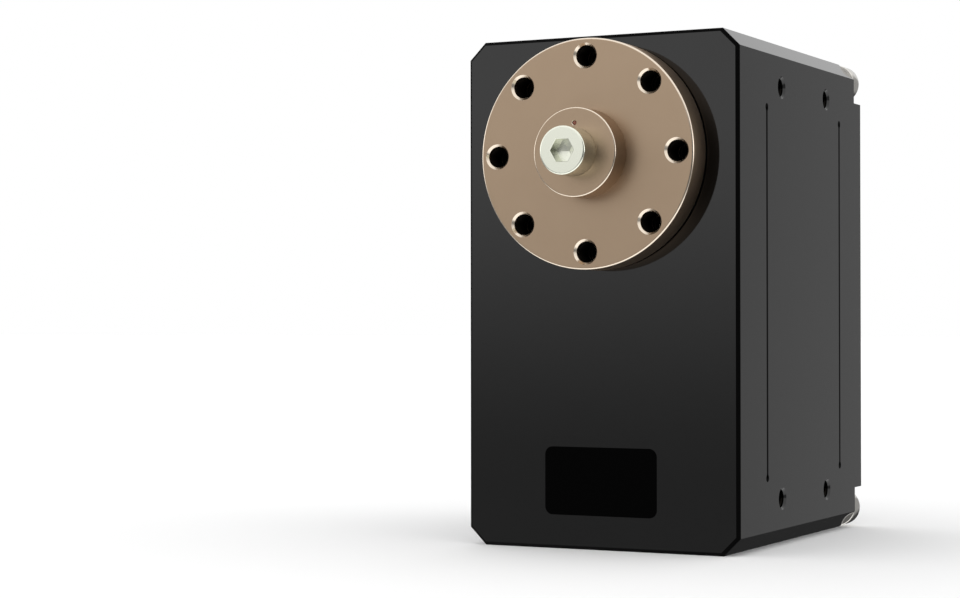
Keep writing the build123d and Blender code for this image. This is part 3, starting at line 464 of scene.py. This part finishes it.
# %% Front case and rear cover with matt edges
tumbled, tree, shader = start_finish("tumbled_black_edge")
set_inputs(shader, IOR=1.45, Specular_IOR_Level=0.03)
scuffs = grain_noise(tree, grain=0.2)
wire(
    tree,
    shader,
    base=blend(tree, scuffs, "020202", "060606"),
    roughness=between(tree, scuffs, 0.6, 0.8),
    height=scuffs,
    depth=0.003,
    strength=0.3,
)
lean_low, lean_high = 0.6, 0.8
slack = 0.001
for node, name in (("front_case", "front_housing"), ("rear_cover", "rear_housing")):
    bm = bmesh.new()
    bm.from_mesh(nodes[node].data)
    bmesh.ops.remove_doubles(bm, verts=bm.verts, dist=merge_distance)
    part = make_object(bm, name)
    stale = part.data.attributes.get("custom_normal")
    if stale is not None:
        part.data.attributes.remove(stale)
    dress(part, "casing", hard_coat, [node])
    part.data.materials.append(tumbled)
    for face in part.data.polygons:
        x, y, z = (abs(value) for value in face.normal)
        face.material_index = int(lean_low < y < lean_high)
        on_long_chamfer = abs(x - z) < slack and y < slack
        face.use_smooth = max(x, y, z) < square_on and not on_long_chamfer

# %% [markdown]
# ## Tan horn finish
#
# The horn is aluminium too, blasted with fine beads and then anodised in a warm grey tan. The
# blasting leaves tiny dimples that scatter the light, so the metal looks even and satin and
# only its broken edges flash. It is a true metal: its colour tints the reflection. Real
# dimples are about 0.03 mm wide. They are drawn four times coarser, or they would vanish.

# %% Finish of the horn
anodised, tree, shader = start_finish("tan_anodised_aluminium")
set_inputs(shader, Metallic=1.0)
cloud = grain_noise(tree, grain=4.0)
dimples = grain_noise(tree, grain=0.12)
wire(
    tree,
    shader,
    base=blend(tree, cloud, "a8927b", "ad9780"),
    roughness=between(tree, dimples, 0.34, 0.44),
    height=dimples,
    depth=0.004,
    strength=0.25,
)
print("tan finish ready")

# %% [markdown]
# ## Output horn
#
# The horn is the disc that the next link is bolted to. It is one turned piece: a disc with a
# raised hub, a bore for the centre screw and a pocket behind for the splined shaft. After
# turning it is drilled on a circle and every hole is countersunk. Here the section is spun,
# its front edges are rounded, and the holes are cut with turned cutters that carry the
# countersink, just as a drill does.

# %% Horn body
horn_radius = 13.0
horn_thickness = 3.7
hub_radius = 5.0
hub_front = -2.95
bore_radius = 1.55
pocket_radius = 3.62
pocket_floor = 0.8
horn_rim_bevel, hub_rim_bevel, back_rim_bevel = 0.22, 0.17, 0.15

bm = turned(
    [
        (bore_radius, hub_front),
        (hub_radius, hub_front),
        (hub_radius, 0.0),
        (horn_radius, 0.0),
        (horn_radius, horn_thickness),
        (pocket_radius, horn_thickness),
        (pocket_radius, pocket_floor),
        (bore_radius, pocket_floor),
    ],
    steps=192,
)
round_edges(bm, ring_edges(bm, horn_radius, 0.0), horn_rim_bevel, segments=6)
round_edges(bm, ring_edges(bm, hub_radius, hub_front), hub_rim_bevel, segments=6)
round_edges(bm, ring_edges(bm, horn_radius, horn_thickness), back_rim_bevel)
horn = make_object(bm, "horn_disc")

# %% Horn holes
bolt_circle_radius = 11.0
bolt_count = 8
hole_radius = 1.2
countersink = 0.25
overrun = 1.0
bolt_places = []
for number in range(bolt_count):
    angle = 2 * pi * number / bolt_count
    bolt_places.append((bolt_circle_radius * cos(angle), bolt_circle_radius * sin(angle)))
drills = []
for place in bolt_places:
    bm = turned(
        [
            (0.0, -overrun),
            (hole_radius + countersink + overrun, -overrun),
            (hole_radius, countersink),
            (hole_radius, horn_thickness + overrun),
            (0.0, horn_thickness + overrun),
        ],
        steps=48,
        centre=place,
    )
    drills.append(make_object(bm, "drill"))

mark_height = 3.25
mark_radius = 0.25
mark_rim = 0.05
mark_depth = 0.15
bm = turned(
    [
        (0.0, hub_front - overrun),
        (mark_radius + mark_rim, hub_front - overrun),
        (mark_radius + mark_rim, hub_front),
        (mark_radius, hub_front + mark_rim),
        (mark_radius, hub_front + mark_depth),
        (0.0, hub_front + 2 * mark_depth),
    ],
    steps=24,
    centre=(0.0, mark_height),
)
drills.append(make_object(bm, "mark_drill"))
cut(horn, drills)
dress(horn, "output", anodised, ["output_horn"])

# %% [markdown]
# ## Bright edges of the horn
#
# The rims and the countersinks get a paler and glossier aluminium than the tan face. Its paler colour
# is a painted highlight that draws a thin light line round every edge. These faces lean away from the
# flat front, so they are picked by their normals and get a second material. The lean is 1 for a face
# to the front and 0 for a wall.

# %% Edges with a painted highlight
# A paler metal than the tan face: a painted highlight along the rims and the countersinks.
highlight_edge, tree, shader = start_finish("painted_highlight_edge_aluminium")
set_inputs(shader, Metallic=1.0)
edge_grain = grain_noise(tree, grain=0.15)
wire(
    tree,
    shader,
    base=blend(tree, edge_grain, "d9cbb9", "e6d9c8"),
    roughness=between(tree, edge_grain, 0.15, 0.25),
    height=edge_grain,
    depth=0.001,
    strength=0.2,
)
horn.data.materials.append(highlight_edge)
lean_low, lean_high = 0.15, 0.985
bright = 0
for face in horn.data.polygons:
    if lean_low < -face.normal.y < lean_high:
        face.material_index = 1
        bright += 1
print("bright edge faces:", bright)

# %% [markdown]
# ## Threads
#
# A tapped hole is known by its thread. A thread is a small ridge that climbs round the wall, so
# its triangle of a section is spun with a small step along the axis. The same helper serves the
# horn and the sides of the housing. Each thread is a ridge of its own, rooted in the wall of
# its hole.


# %% Thread helper
# Half the foot of a ridge as a share of the pitch: under a half, so that turns don't touch.
foot_share = 0.42


def thread_ridge(bm, root_radius, crest_radius, pitch, start, length, steps=24):
    """Adds a helical ridge round the Y axis, from start along +Y, to a bmesh."""
    foot = foot_share * pitch
    section = [(root_radius, start - foot), (crest_radius, start), (root_radius, start + foot)]
    rim = [bm.verts.new(mm(radius, depth, 0)) for radius, depth in section]
    face = bm.faces.new(rim)
    turns = length / pitch
    count = int(steps * turns)
    bmesh.ops.spin(
        bm,
        geom=[face],
        cent=(0, 0, 0),
        axis=(0, 1, 0),
        dvec=mm(0, length / count, 0),
        angle=2 * pi * turns,
        steps=count,
    )
    bmesh.ops.recalc_face_normals(bm, faces=bm.faces)


def placed_copies(source, places, turn=None):
    """New bmesh with a copy of the source at every place, turned first. Frees the source."""
    part = bpy.data.meshes.new("part")
    source.to_mesh(part)
    source.free()
    together = bmesh.new()
    for place in places:
        known = set(together.verts)
        together.from_mesh(part)
        fresh = [vert for vert in together.verts if vert not in known]
        if turn is not None:
            bmesh.ops.transform(together, matrix=turn, verts=fresh)
        bmesh.ops.translate(together, vec=mm(*place), verts=fresh)
    bpy.data.meshes.remove(part)
    return together


print("thread helper ready")

# %% [markdown]
# ## Steel and black finishes for small parts
#
# The screws are stainless steel with a bright, slightly warm shine. The centre screw of the horn is
# paler, with a satin nickel plate. The threads are painted near black, a painted shade that keeps the
# tapped holes dark even where light falls into them. The connector is blackened.


# %% Finishes of screws and threads
def metal_finish(name, shades, gloss, grain, depth, stretch=(1.0, 1.0, 1.0)):
    """Metal with fine marks. Shades are two hex colours, gloss two roughness values."""
    material, tree, shader = start_finish(name)
    set_inputs(shader, Metallic=1.0)
    marks = grain_noise(tree, grain=grain, detail=3.0, stretch=stretch)
    wire(
        tree,
        shader,
        base=blend(tree, marks, *shades),
        roughness=between(tree, marks, *gloss),
        height=marks,
        depth=depth,
        strength=0.3,
    )
    return material


# Stainless: a mirror that is a little soft, with marks from cold heading 0.2 mm apart.
stainless = metal_finish("stainless_steel", ("c9c6c0", "dedbd5"), (0.12, 0.2), 0.2, 0.002)
# Satin nickel: pale and even, softer than the stainless screws.
satin_nickel = metal_finish("satin_nickel_plate", ("dcded0", "e6e8da"), (0.2, 0.28), 0.15, 0.002)
# Steel painted near black: painted shade deep in the tapped holes, with a dull dark sheen.
hole_shade_black = metal_finish("hole_shade_black_steel", ("0c0b0a", "14120f"), (0.35, 0.5), 0.1, 0.003)
put_on(stainless, "motor_screw_left", "motor_screw_right", "encoder_screw_left")
put_on(stainless, "encoder_screw_right", "board_screw_left", "board_screw_right")
print("screw finishes ready")

# %% Threads in the horn
thread_pitch = 0.45
thread_root = 1.215
thread_crest = 1.03
thread_start, thread_length = 0.65, 2.7
bm = bmesh.new()
thread_ridge(bm, thread_root, thread_crest, thread_pitch, thread_start, thread_length)
bm = placed_copies(bm, [(x, 0.0, z) for x, z in bolt_places])
horn_threads = make_object(bm, "horn_threads")
# Their near black colour paints the shade inside the holes of the horn.
dress(horn_threads, "output", hole_shade_black)

# %% [markdown]
# ## Timing mark
#
# A tiny drilled dot on the hub shows which way the output points. It is filled with a drop of
# red brown paint, which dries to a small dome.

# %% Timing mark
paint, tree, shader = start_finish("red_brown_marking_paint")
set_inputs(shader, IOR=1.45)
specks = grain_noise(tree, grain=0.08)
wire(
    tree,
    shader,
    base=blend(tree, specks, "7a4434", "8f5442"),
    roughness=between(tree, specks, 0.25, 0.4),
    height=specks,
    depth=0.003,
    strength=0.3,
)
bm = turned(
    [
        (0.0, hub_front + 0.03),
        (0.12, hub_front + 0.045),
        (0.2, hub_front + 0.08),
        (mark_radius - 0.01, hub_front + 0.14),
        (0.0, hub_front + 0.2),
    ],
    steps=32,
    centre=(0.0, mark_height),
)
mark = make_object(bm, "timing_mark")
dress(mark, "output", paint)

# %% [markdown]
# ## Cap screws
#
# Five cap screws show on the outside: one clamps the horn to its shaft and four hold the
# housing together. A cap screw has a round head with a rounded rim and a hexagon socket that is
# pressed in, so the mouth of the socket has a small chamfer and its floor is a shallow point.
# The outside is a row of circles and the socket a row of hexagons, each bridged to the next,
# and the flat face fills the space between the last circle and the first hexagon.


# %% Screw helper
head_bevel, seat_bevel = 0.2, 0.08
tip_chamfer, mouth_chamfer = 0.25, 0.04
socket_depth_ratio = 0.55
floor_fall, floor_point = 0.08, 0.1


def cap_screw(name, centre, seat, away, head, shank, tip, socket, socket_turn):
    """Cap screw along Y round centre (x, z). Its head points away: -1 forwards, 1 backwards.

    Head is a radius and a height, shank a radius, socket the width across its flats, and seat
    and tip are depths along Y.
    """
    head_radius, head_height = head
    facets = 96
    x, z = centre
    face_depth = seat + away * head_height
    floor_depth = face_depth - away * socket_depth_ratio * head_height
    lie_down = Matrix.Rotation(radians(90), 4, "X")
    bm = bmesh.new()

    def ring(radius, depth, sides, turn=0.0):
        place = Matrix.Translation(mm(x, depth, z)) @ lie_down @ Matrix.Rotation(turn, 4, "Z")
        made = bmesh.ops.create_circle(
            bm, cap_ends=False, radius=radius * MM, segments=sides, matrix=place
        )
        return list({edge for vert in made["verts"] for edge in vert.link_edges})

    def hexagon(flats, depth):
        return ring(flats / 2 / cos(pi / 6), depth, 6, socket_turn)

    outside = [
        ring(shank - tip_chamfer, tip, facets),
        ring(shank, tip + away * tip_chamfer, facets),
        ring(shank, seat, facets),
        ring(head_radius, seat, facets),
        ring(head_radius, face_depth, facets),
    ]
    inside = [
        hexagon(socket + 2 * mouth_chamfer, face_depth),
        hexagon(socket, face_depth - away * mouth_chamfer),
        hexagon(socket, floor_depth),
        hexagon(floor_point, floor_depth - away * floor_fall * socket),
    ]
    for loops in (outside, inside):
        for first, second in zip(loops, loops[1:]):
            bmesh.ops.bridge_loops(bm, edges=first + second)
    face_loops = outside[-1] + inside[0]
    bmesh.ops.triangle_fill(bm, use_beauty=True, use_dissolve=False, edges=face_loops)
    for end in (outside[0], inside[-1]):
        bmesh.ops.contextual_create(bm, geom=end)
    bmesh.ops.recalc_face_normals(bm, faces=bm.faces)
    round_edges(bm, ring_edges(bm, head_radius, face_depth, centre), head_bevel, segments=5)
    round_edges(bm, ring_edges(bm, head_radius, seat, centre), seat_bevel, segments=3)
    return make_object(bm, name)


# %% Centre screw of the horn
horn_screw = cap_screw(
    "horn_centre_screw",
    centre=(0.0, 0.0),
    seat=hub_front,
    away=-1,
    head=(2.72, 3.25),
    shank=1.5,
    tip=7.55,
    socket=2.5,
    socket_turn=radians(30),
)
dress(horn_screw, "output", satin_nickel, ["horn_screw"])

# %% Corner screws of the housing
for number in range(1, 5):
    low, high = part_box(f"corner_screw_{number}")
    screw = cap_screw(
        f"housing_screw_{number}",
        centre=box_axis(low, high),
        seat=45.0,
        away=1,
        head=(2.25, 2.5),
        shank=1.25,
        tip=6.6,
        socket=2.0,
        socket_turn=0.0,
    )
    dress(screw, "casing", stainless, [f"corner_screw_{number}"])

# %% [markdown]
# ## Tapped side holes
#
# Both sides have four tapped holes for brackets. They get the same thread as the horn, turned
# to point sideways.

# %% Threads in the sides
side_hole_root = 1.065
side_hole_crest = 0.88
side_thread_start, side_thread_length = 0.55, 2.1
side_x = 16.75
side_places = [(y, z) for y in (18.0, 34.0) for z in (8.25, -39.25)]
for side, name in ((1, "right"), (-1, "left")):
    bm = bmesh.new()
    thread_ridge(
        bm, side_hole_root, side_hole_crest, thread_pitch, side_thread_start, side_thread_length
    )
    sideways = Matrix.Rotation(radians(90) * side, 4, "Z")
    bm = placed_copies(bm, [(side * side_x, y, z) for y, z in side_places], sideways)
    side_threads = make_object(bm, f"side_threads_{name}")
    # Their near black colour paints the shade inside the side holes.
    dress(side_threads, "casing", hole_shade_black)

# %% [markdown]
# ## Joint lines
#
# The three parts of the housing meet in two fine grooves on either side, filled with black
# sealant. A bead of sealant is a little wider than its groove and ends in a round blob. Each
# bead is a long thin box with rounded corners, and a disc sits on both ends.

# %% Beads of sealant
bead_width, bead_depth, blob_radius = 0.56, 0.3, 0.44
bead_low, bead_high = -36.6, 5.6
bead_corner = 0.05
proud = 0.008
joint_places = (13.0, 39.0)
bead_size = mm(bead_depth, bead_width, bead_high - bead_low)
bm = bmesh.new()
for side in (-1, 1):
    outer_x = side * (side_x + proud)
    middle_x = outer_x - side * bead_depth / 2
    for joint_y in joint_places:
        place = Matrix.Translation(mm(middle_x, joint_y, (bead_low + bead_high) / 2))
        size = Matrix.Diagonal((*bead_size, 1.0))
        bmesh.ops.create_cube(bm, size=1.0, matrix=place @ size)
        for end_z in (bead_low, bead_high):
            place = Matrix.Translation(mm(middle_x, joint_y, end_z))
            bmesh.ops.create_cone(
                bm,
                cap_ends=True,
                segments=24,
                radius1=blob_radius * MM,
                radius2=blob_radius * MM,
                depth=bead_depth * MM,
                matrix=place @ Matrix.Rotation(radians(90), 4, "Y"),
            )
long_edges = [edge for edge in bm.edges if edge.calc_length() > bead_size.z / 2]
round_edges(bm, long_edges, bead_corner, segments=2)
beads = make_object(bm, "sealant_beads")
dress(beads, "casing", tumbled)

# %% [markdown]
# ## Label plate
#
# A shallow pocket low on the front holds a thin printed film. Its print is a deep matt black
# that gives back no mirror image at all, so it reads as a darker field beside the glossy coat.
# The plate here is left bare. It starts as a box whose four corners, as seen from the front,
# are rounded, and then its front rim is softened.

# %% Label plate
label_width, label_height, label_depth = 13.8, 7.75, 0.3
label_corner, label_rim = 0.9, 0.05
label_low, label_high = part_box("label_plate")
matt_film, tree, shader = start_finish("matt_black_printed_film")
set_inputs(shader, IOR=1.45, Specular_IOR_Level=0.02)
ink = grain_noise(tree, grain=0.25)
wire(
    tree,
    shader,
    base=blend(tree, ink, "010101", "030303"),
    roughness=between(tree, ink, 0.6, 0.75),
    height=ink,
    depth=0.002,
    strength=0.2,
)
bm = bmesh.new()
bmesh.ops.create_cube(bm, size=1.0)
bmesh.ops.scale(bm, vec=mm(label_width, label_depth, label_height), verts=bm.verts)
corners = [e for e in bm.edges if e.verts[0].co.y * e.verts[1].co.y < 0]
round_edges(bm, corners, label_corner, segments=10)
front_rim = [e for e in bm.edges if all(v.co.y < 0 for v in e.verts)]
round_edges(bm, front_rim, label_rim, segments=2)
middle = (Vector(label_low) + Vector(label_high)) / 2
bmesh.ops.translate(bm, vec=middle, verts=bm.verts)
label = make_object(bm, "label_film")
dress(label, "casing", matt_film, ["label_plate"])

# %% [markdown]
# ## Connector
#
# The round connector at the back is a metal shell with a collar, coated like the housing.
# Inside it sits a dark red insulator with four gold contacts. The shell is turned and the edges
# that show are rounded. The contacts are turned pins with domed ends, which catch a bright spot
# each.

# %% Connector finishes
# Blackened brass of the nut inside: smooth and dark.
black_brass = metal_finish("blackened_brass", ("1c1c1c", "242423"), (0.12, 0.2), 0.2, 0.002)
# Hard gold plate: warm and pale, polished.
gold_plate = metal_finish("hard_gold_plate", ("f3e2b4", "fbf0cf"), (0.1, 0.18), 0.1, 0.001)
red_resin, tree, shader = start_finish("dark_red_glass_filled_resin")
set_inputs(shader, IOR=1.5, Specular_IOR_Level=0.2)
flow = grain_noise(tree, grain=0.6)
wire(
    tree,
    shader,
    base=blend(tree, flow, "6e0000", "8c0202"),
    roughness=between(tree, flow, 0.2, 0.32),
    height=flow,
    depth=0.004,
    strength=0.3,
)
put_on(red_resin, "connector_insulator")
put_on(black_brass, "connector_nut")
print("connector finishes ready")

# %% Connector shell and contacts
shell_radius = 4.0
shell_bore = 3.27
shell_rim = 48.9
collar_radius = 5.15
collar_seat = 42.9
collar_top = 44.55
collar_bevel, rim_bevel, mouth_bevel = 0.35, 0.12, 0.1
shell_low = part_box("connector_shell")[0]
shell_tail = shell_low[1] / MM
bm = turned(
    [
        (shell_bore, shell_tail),
        (shell_radius, shell_tail),
        (shell_radius, collar_seat),
        (collar_radius, collar_seat),
        (collar_radius, collar_top),
        (shell_radius, collar_top),
        (shell_radius, shell_rim),
        (shell_bore, shell_rim),
    ],
    steps=128,
)
round_edges(bm, ring_edges(bm, collar_radius, collar_top), collar_bevel)
round_edges(bm, ring_edges(bm, shell_radius, shell_rim), rim_bevel)
round_edges(bm, ring_edges(bm, shell_bore, shell_rim), mouth_bevel)
shell = make_object(bm, "connector_body")
dress(shell, "casing", hard_coat, ["connector_shell"])

dome_angles = (0.0, 0.35, 0.7, 1.05, 1.3)
for number in range(1, 5):
    low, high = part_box(f"connector_contact_{number}")
    radius = (high[0] - low[0]) / 2 / MM
    start, end = low[1] / MM, high[1] / MM
    dome = [(radius * cos(a), end - radius + radius * sin(a)) for a in dome_angles]
    section = [(0.0, start), (radius, start)] + dome + [(0.0, end)]
    pin = turned(section, steps=32, centre=box_axis(low, high))
    contact = make_object(pin, f"contact_pin_{number}")
    dress(contact, "casing", gold_plate, [f"connector_contact_{number}"])

# %% [markdown]
# ## Finishes of the mechanism
#
# The inside is closed, but every part keeps the finish of the real one, for exploded and cut
# views. Ground shafts carry fine rings round the axis, so their noise is squeezed along it.
# Cut gears are duller and coarser. Bronze, copper and magnet each have their own metal colour.

# %% Metals inside
# Ground shaft steel: rings about 0.1 mm apart round the axis, bright.
ground_steel = metal_finish(
    "ground_shaft_steel", ("a9abad", "c3c5c7"), (0.14, 0.26), 0.8, 0.002, stretch=(1, 8, 1)
)
# Hobbed gear steel: darker, with cutter marks about 0.2 mm wide.
gear_steel = metal_finish("hobbed_gear_steel", ("8d8f92", "a7a9ac"), (0.26, 0.4), 0.2, 0.004)
# Hardened bearing steel: lapped, nearly a mirror.
lapped_steel = metal_finish("lapped_bearing_steel", ("c2c4c6", "d4d6d8"), (0.05, 0.12), 0.6, 0.001)
# Sintered bronze: warm, with open pores.
sintered_bronze = metal_finish("sintered_bronze", ("9a6a3c", "b98550"), (0.3, 0.5), 0.12, 0.008)
# Drawn motor can: zinc plated sheet, with long marks along the draw.
drawn_can = metal_finish(
    "zinc_plated_can", ("9fa3a6", "b6babd"), (0.2, 0.34), 0.5, 0.003, stretch=(3, 0.4, 3)
)
# Nickel plate on the magnets: bright and a little yellow.
plated_magnet = metal_finish("nickel_plated_magnet", ("b5b2a8", "cbc8bd"), (0.12, 0.24), 0.4, 0.002)

winding, tree, shader = start_finish("enamelled_copper_winding")
set_inputs(shader, Metallic=1.0, Coat_Weight=0.6, Coat_Roughness=0.15)
place = add_node(tree, "ShaderNodeTexCoord").outputs["Object"]
# Bundles of wire side by side along the cup. At this scale a wave repeats every 1.26 mm.
wires = add_node(
    tree,
    "ShaderNodeTexWave",
    {"bands_direction": "Y"},
    {"Vector": place, "Scale": 0.25 / MM, "Distortion": 0.6, "Detail": 1.0},
).outputs["Fac"]
wire(
    tree,
    shader,
    base=blend(tree, wires, "8a4526", "c97b4a"),
    roughness=between(tree, wires, 0.2, 0.35),
    height=wires,
    depth=0.05,
)

bearing_parts = ("inner", "outer", "balls")
metal_nodes = {
    ground_steel: ["output_shaft", "left_gear_pin", "right_gear_pin", "motor_shaft"],
    gear_steel: ["output_gear", "third_gear", "second_gear", "motor_pinion"],
    lapped_steel: [f"{end}_bearing_{part}" for end in ("front", "rear") for part in bearing_parts],
    sintered_bronze: [
        "first_gear",
        "pin_washer",
        "pin_sleeve",
        "motor_front_bush",
        "motor_rear_bush",
    ],
    drawn_can: ["motor_can"],
    plated_magnet: ["motor_magnet", "encoder_magnet"],
    winding: ["motor_coil"],
}
for material, names in metal_nodes.items():
    put_on(material, *names)
print("metal finishes:", len(metal_nodes))

# %% [markdown]
# ## Rubber, plastics and boards
#
# What isn't metal is moulded, cast or printed. A moulding has a fine texture from its tool and
# small changes in gloss from the flow. The boards have solder mask over copper tracks, which
# shows as lighter lines in the green.


# %% Mouldings
def moulded_finish(name, shades, gloss, grain, depth, ior=1.5):
    """Plastic or rubber with the texture of its tool. Shades are two hex colours."""
    material, tree, shader = start_finish(name)
    set_inputs(shader, IOR=ior)
    texture = grain_noise(tree, grain=grain, detail=4.0)
    wire(
        tree,
        shader,
        base=blend(tree, texture, *shades),
        roughness=between(tree, texture, *gloss),
        height=texture,
        depth=depth,
        strength=0.5,
    )
    return material


# Nitrile rubber: dull, with the fine grain of a moulded seal.
nitrile = moulded_finish("nitrile_rubber", ("0d0d0d", "171716"), (0.55, 0.75), 0.15, 0.01, 1.52)
# Glass filled nylon of the motor cap: brown black and half matt.
nylon = moulded_finish("glass_filled_nylon", ("1d1a18", "2a2623"), (0.4, 0.55), 0.2, 0.008, 1.53)
# Epoxy of the chips: black, matt, with the grain of its filler.
chip_epoxy = moulded_finish("moulding_epoxy", ("111213", "1c1d1f"), (0.45, 0.65), 0.08, 0.005, 1.55)
# Tantalum capacitor case: cast ochre resin.
capacitor_resin = moulded_finish("ochre_cast_resin", ("b7853a", "cd9c4f"), (0.3, 0.45), 0.3, 0.005)
# Polyimide film of the ribbon: clear amber over copper.
amber_film = moulded_finish("amber_polyimide_film", ("a55a14", "c47a2a"), (0.15, 0.3), 0.5, 0.003, 1.7)

solder_mask, tree, shader = start_finish("green_solder_mask")
set_inputs(shader, IOR=1.55)
place = add_node(tree, "ShaderNodeTexCoord").outputs["Object"]
flat = add_node(
    tree, "ShaderNodeMapping", inputs={"Vector": place, "Rotation": (radians(90), 0, 0)}
).outputs["Vector"]
# Tracks 0.24 mm wide, with a field of board between them every 1.6 x 1.0 mm.
tracks = add_node(
    tree,
    "ShaderNodeTexBrick",
    inputs={
        "Vector": flat,
        "Scale": 1 / MM,
        "Brick Width": 1.6,
        "Row Height": 1.0,
        "Mortar Size": 0.12,
    },
).outputs["Fac"]
wire(
    tree,
    shader,
    base=blend(tree, tracks, "0b4a2c", "1c6b42"),
    roughness=between(tree, tracks, 0.3, 0.2),
    height=tracks,
    depth=0.02,
)

moulded_nodes = {
    nitrile: ["front_gasket", "rear_gasket", "shaft_seal", "connector_seal"],
    nylon: ["motor_end_cap"],
    chip_epoxy: ["encoder_chip", "processor_chip", "driver_chip"],
    capacitor_resin: ["power_capacitor"],
    amber_film: ["link_ribbon"],
    solder_mask: ["encoder_board", "control_board"],
}
for material, names in moulded_nodes.items():
    put_on(material, *names)
print("other finishes:", len(moulded_nodes))

# %% [markdown]
# ## Floor and backdrop
#
# The picture has a plain white ground. A pale floor takes the soft shadow of the housing. The backdrop
# is a white dome that gives the background its colour. Neither shows in the black coat, which mirrors
# the world's wall and cards instead.

# %% Floor and backdrop
floor_height = cad_box[0][2]
floor_size = 6.0
bm = bmesh.new()
bmesh.ops.create_grid(bm, x_segments=1, y_segments=1, size=floor_size / 2)
bmesh.ops.translate(bm, vec=(0, 0, floor_height), verts=bm.verts)
floor = make_object(bm, "floor")
floor.visible_glossy = False
paper, tree, shader = start_finish("white_paper")
set_inputs(shader, Base_Color=colour("f4f4f4"), Roughness=0.9)
floor.data.materials.append(paper)

bm = bmesh.new()
bmesh.ops.create_uvsphere(bm, u_segments=64, v_segments=32, radius=floor_size)
bmesh.ops.reverse_faces(bm, faces=bm.faces)
backdrop = make_object(bm, "backdrop")
backdrop.visible_glossy = False
backdrop.visible_diffuse = False
backdrop.visible_transmission = False
backdrop.visible_shadow = False
white_dome = bpy.data.materials.new("white_dome")
white_dome.use_nodes = True
tree = white_dome.node_tree
tree.nodes.clear()
glow = add_node(tree, "ShaderNodeEmission", inputs={"Color": colour("ffffff"), "Strength": 1.0})
add_node(tree, "ShaderNodeOutputMaterial", inputs={"Surface": glow.outputs["Emission"]})
backdrop.data.materials.append(white_dome)
print("floor at", round(floor_height / MM, 2), "mm")

# %% [markdown]
# ## Last step
#

# %% End
print("done")
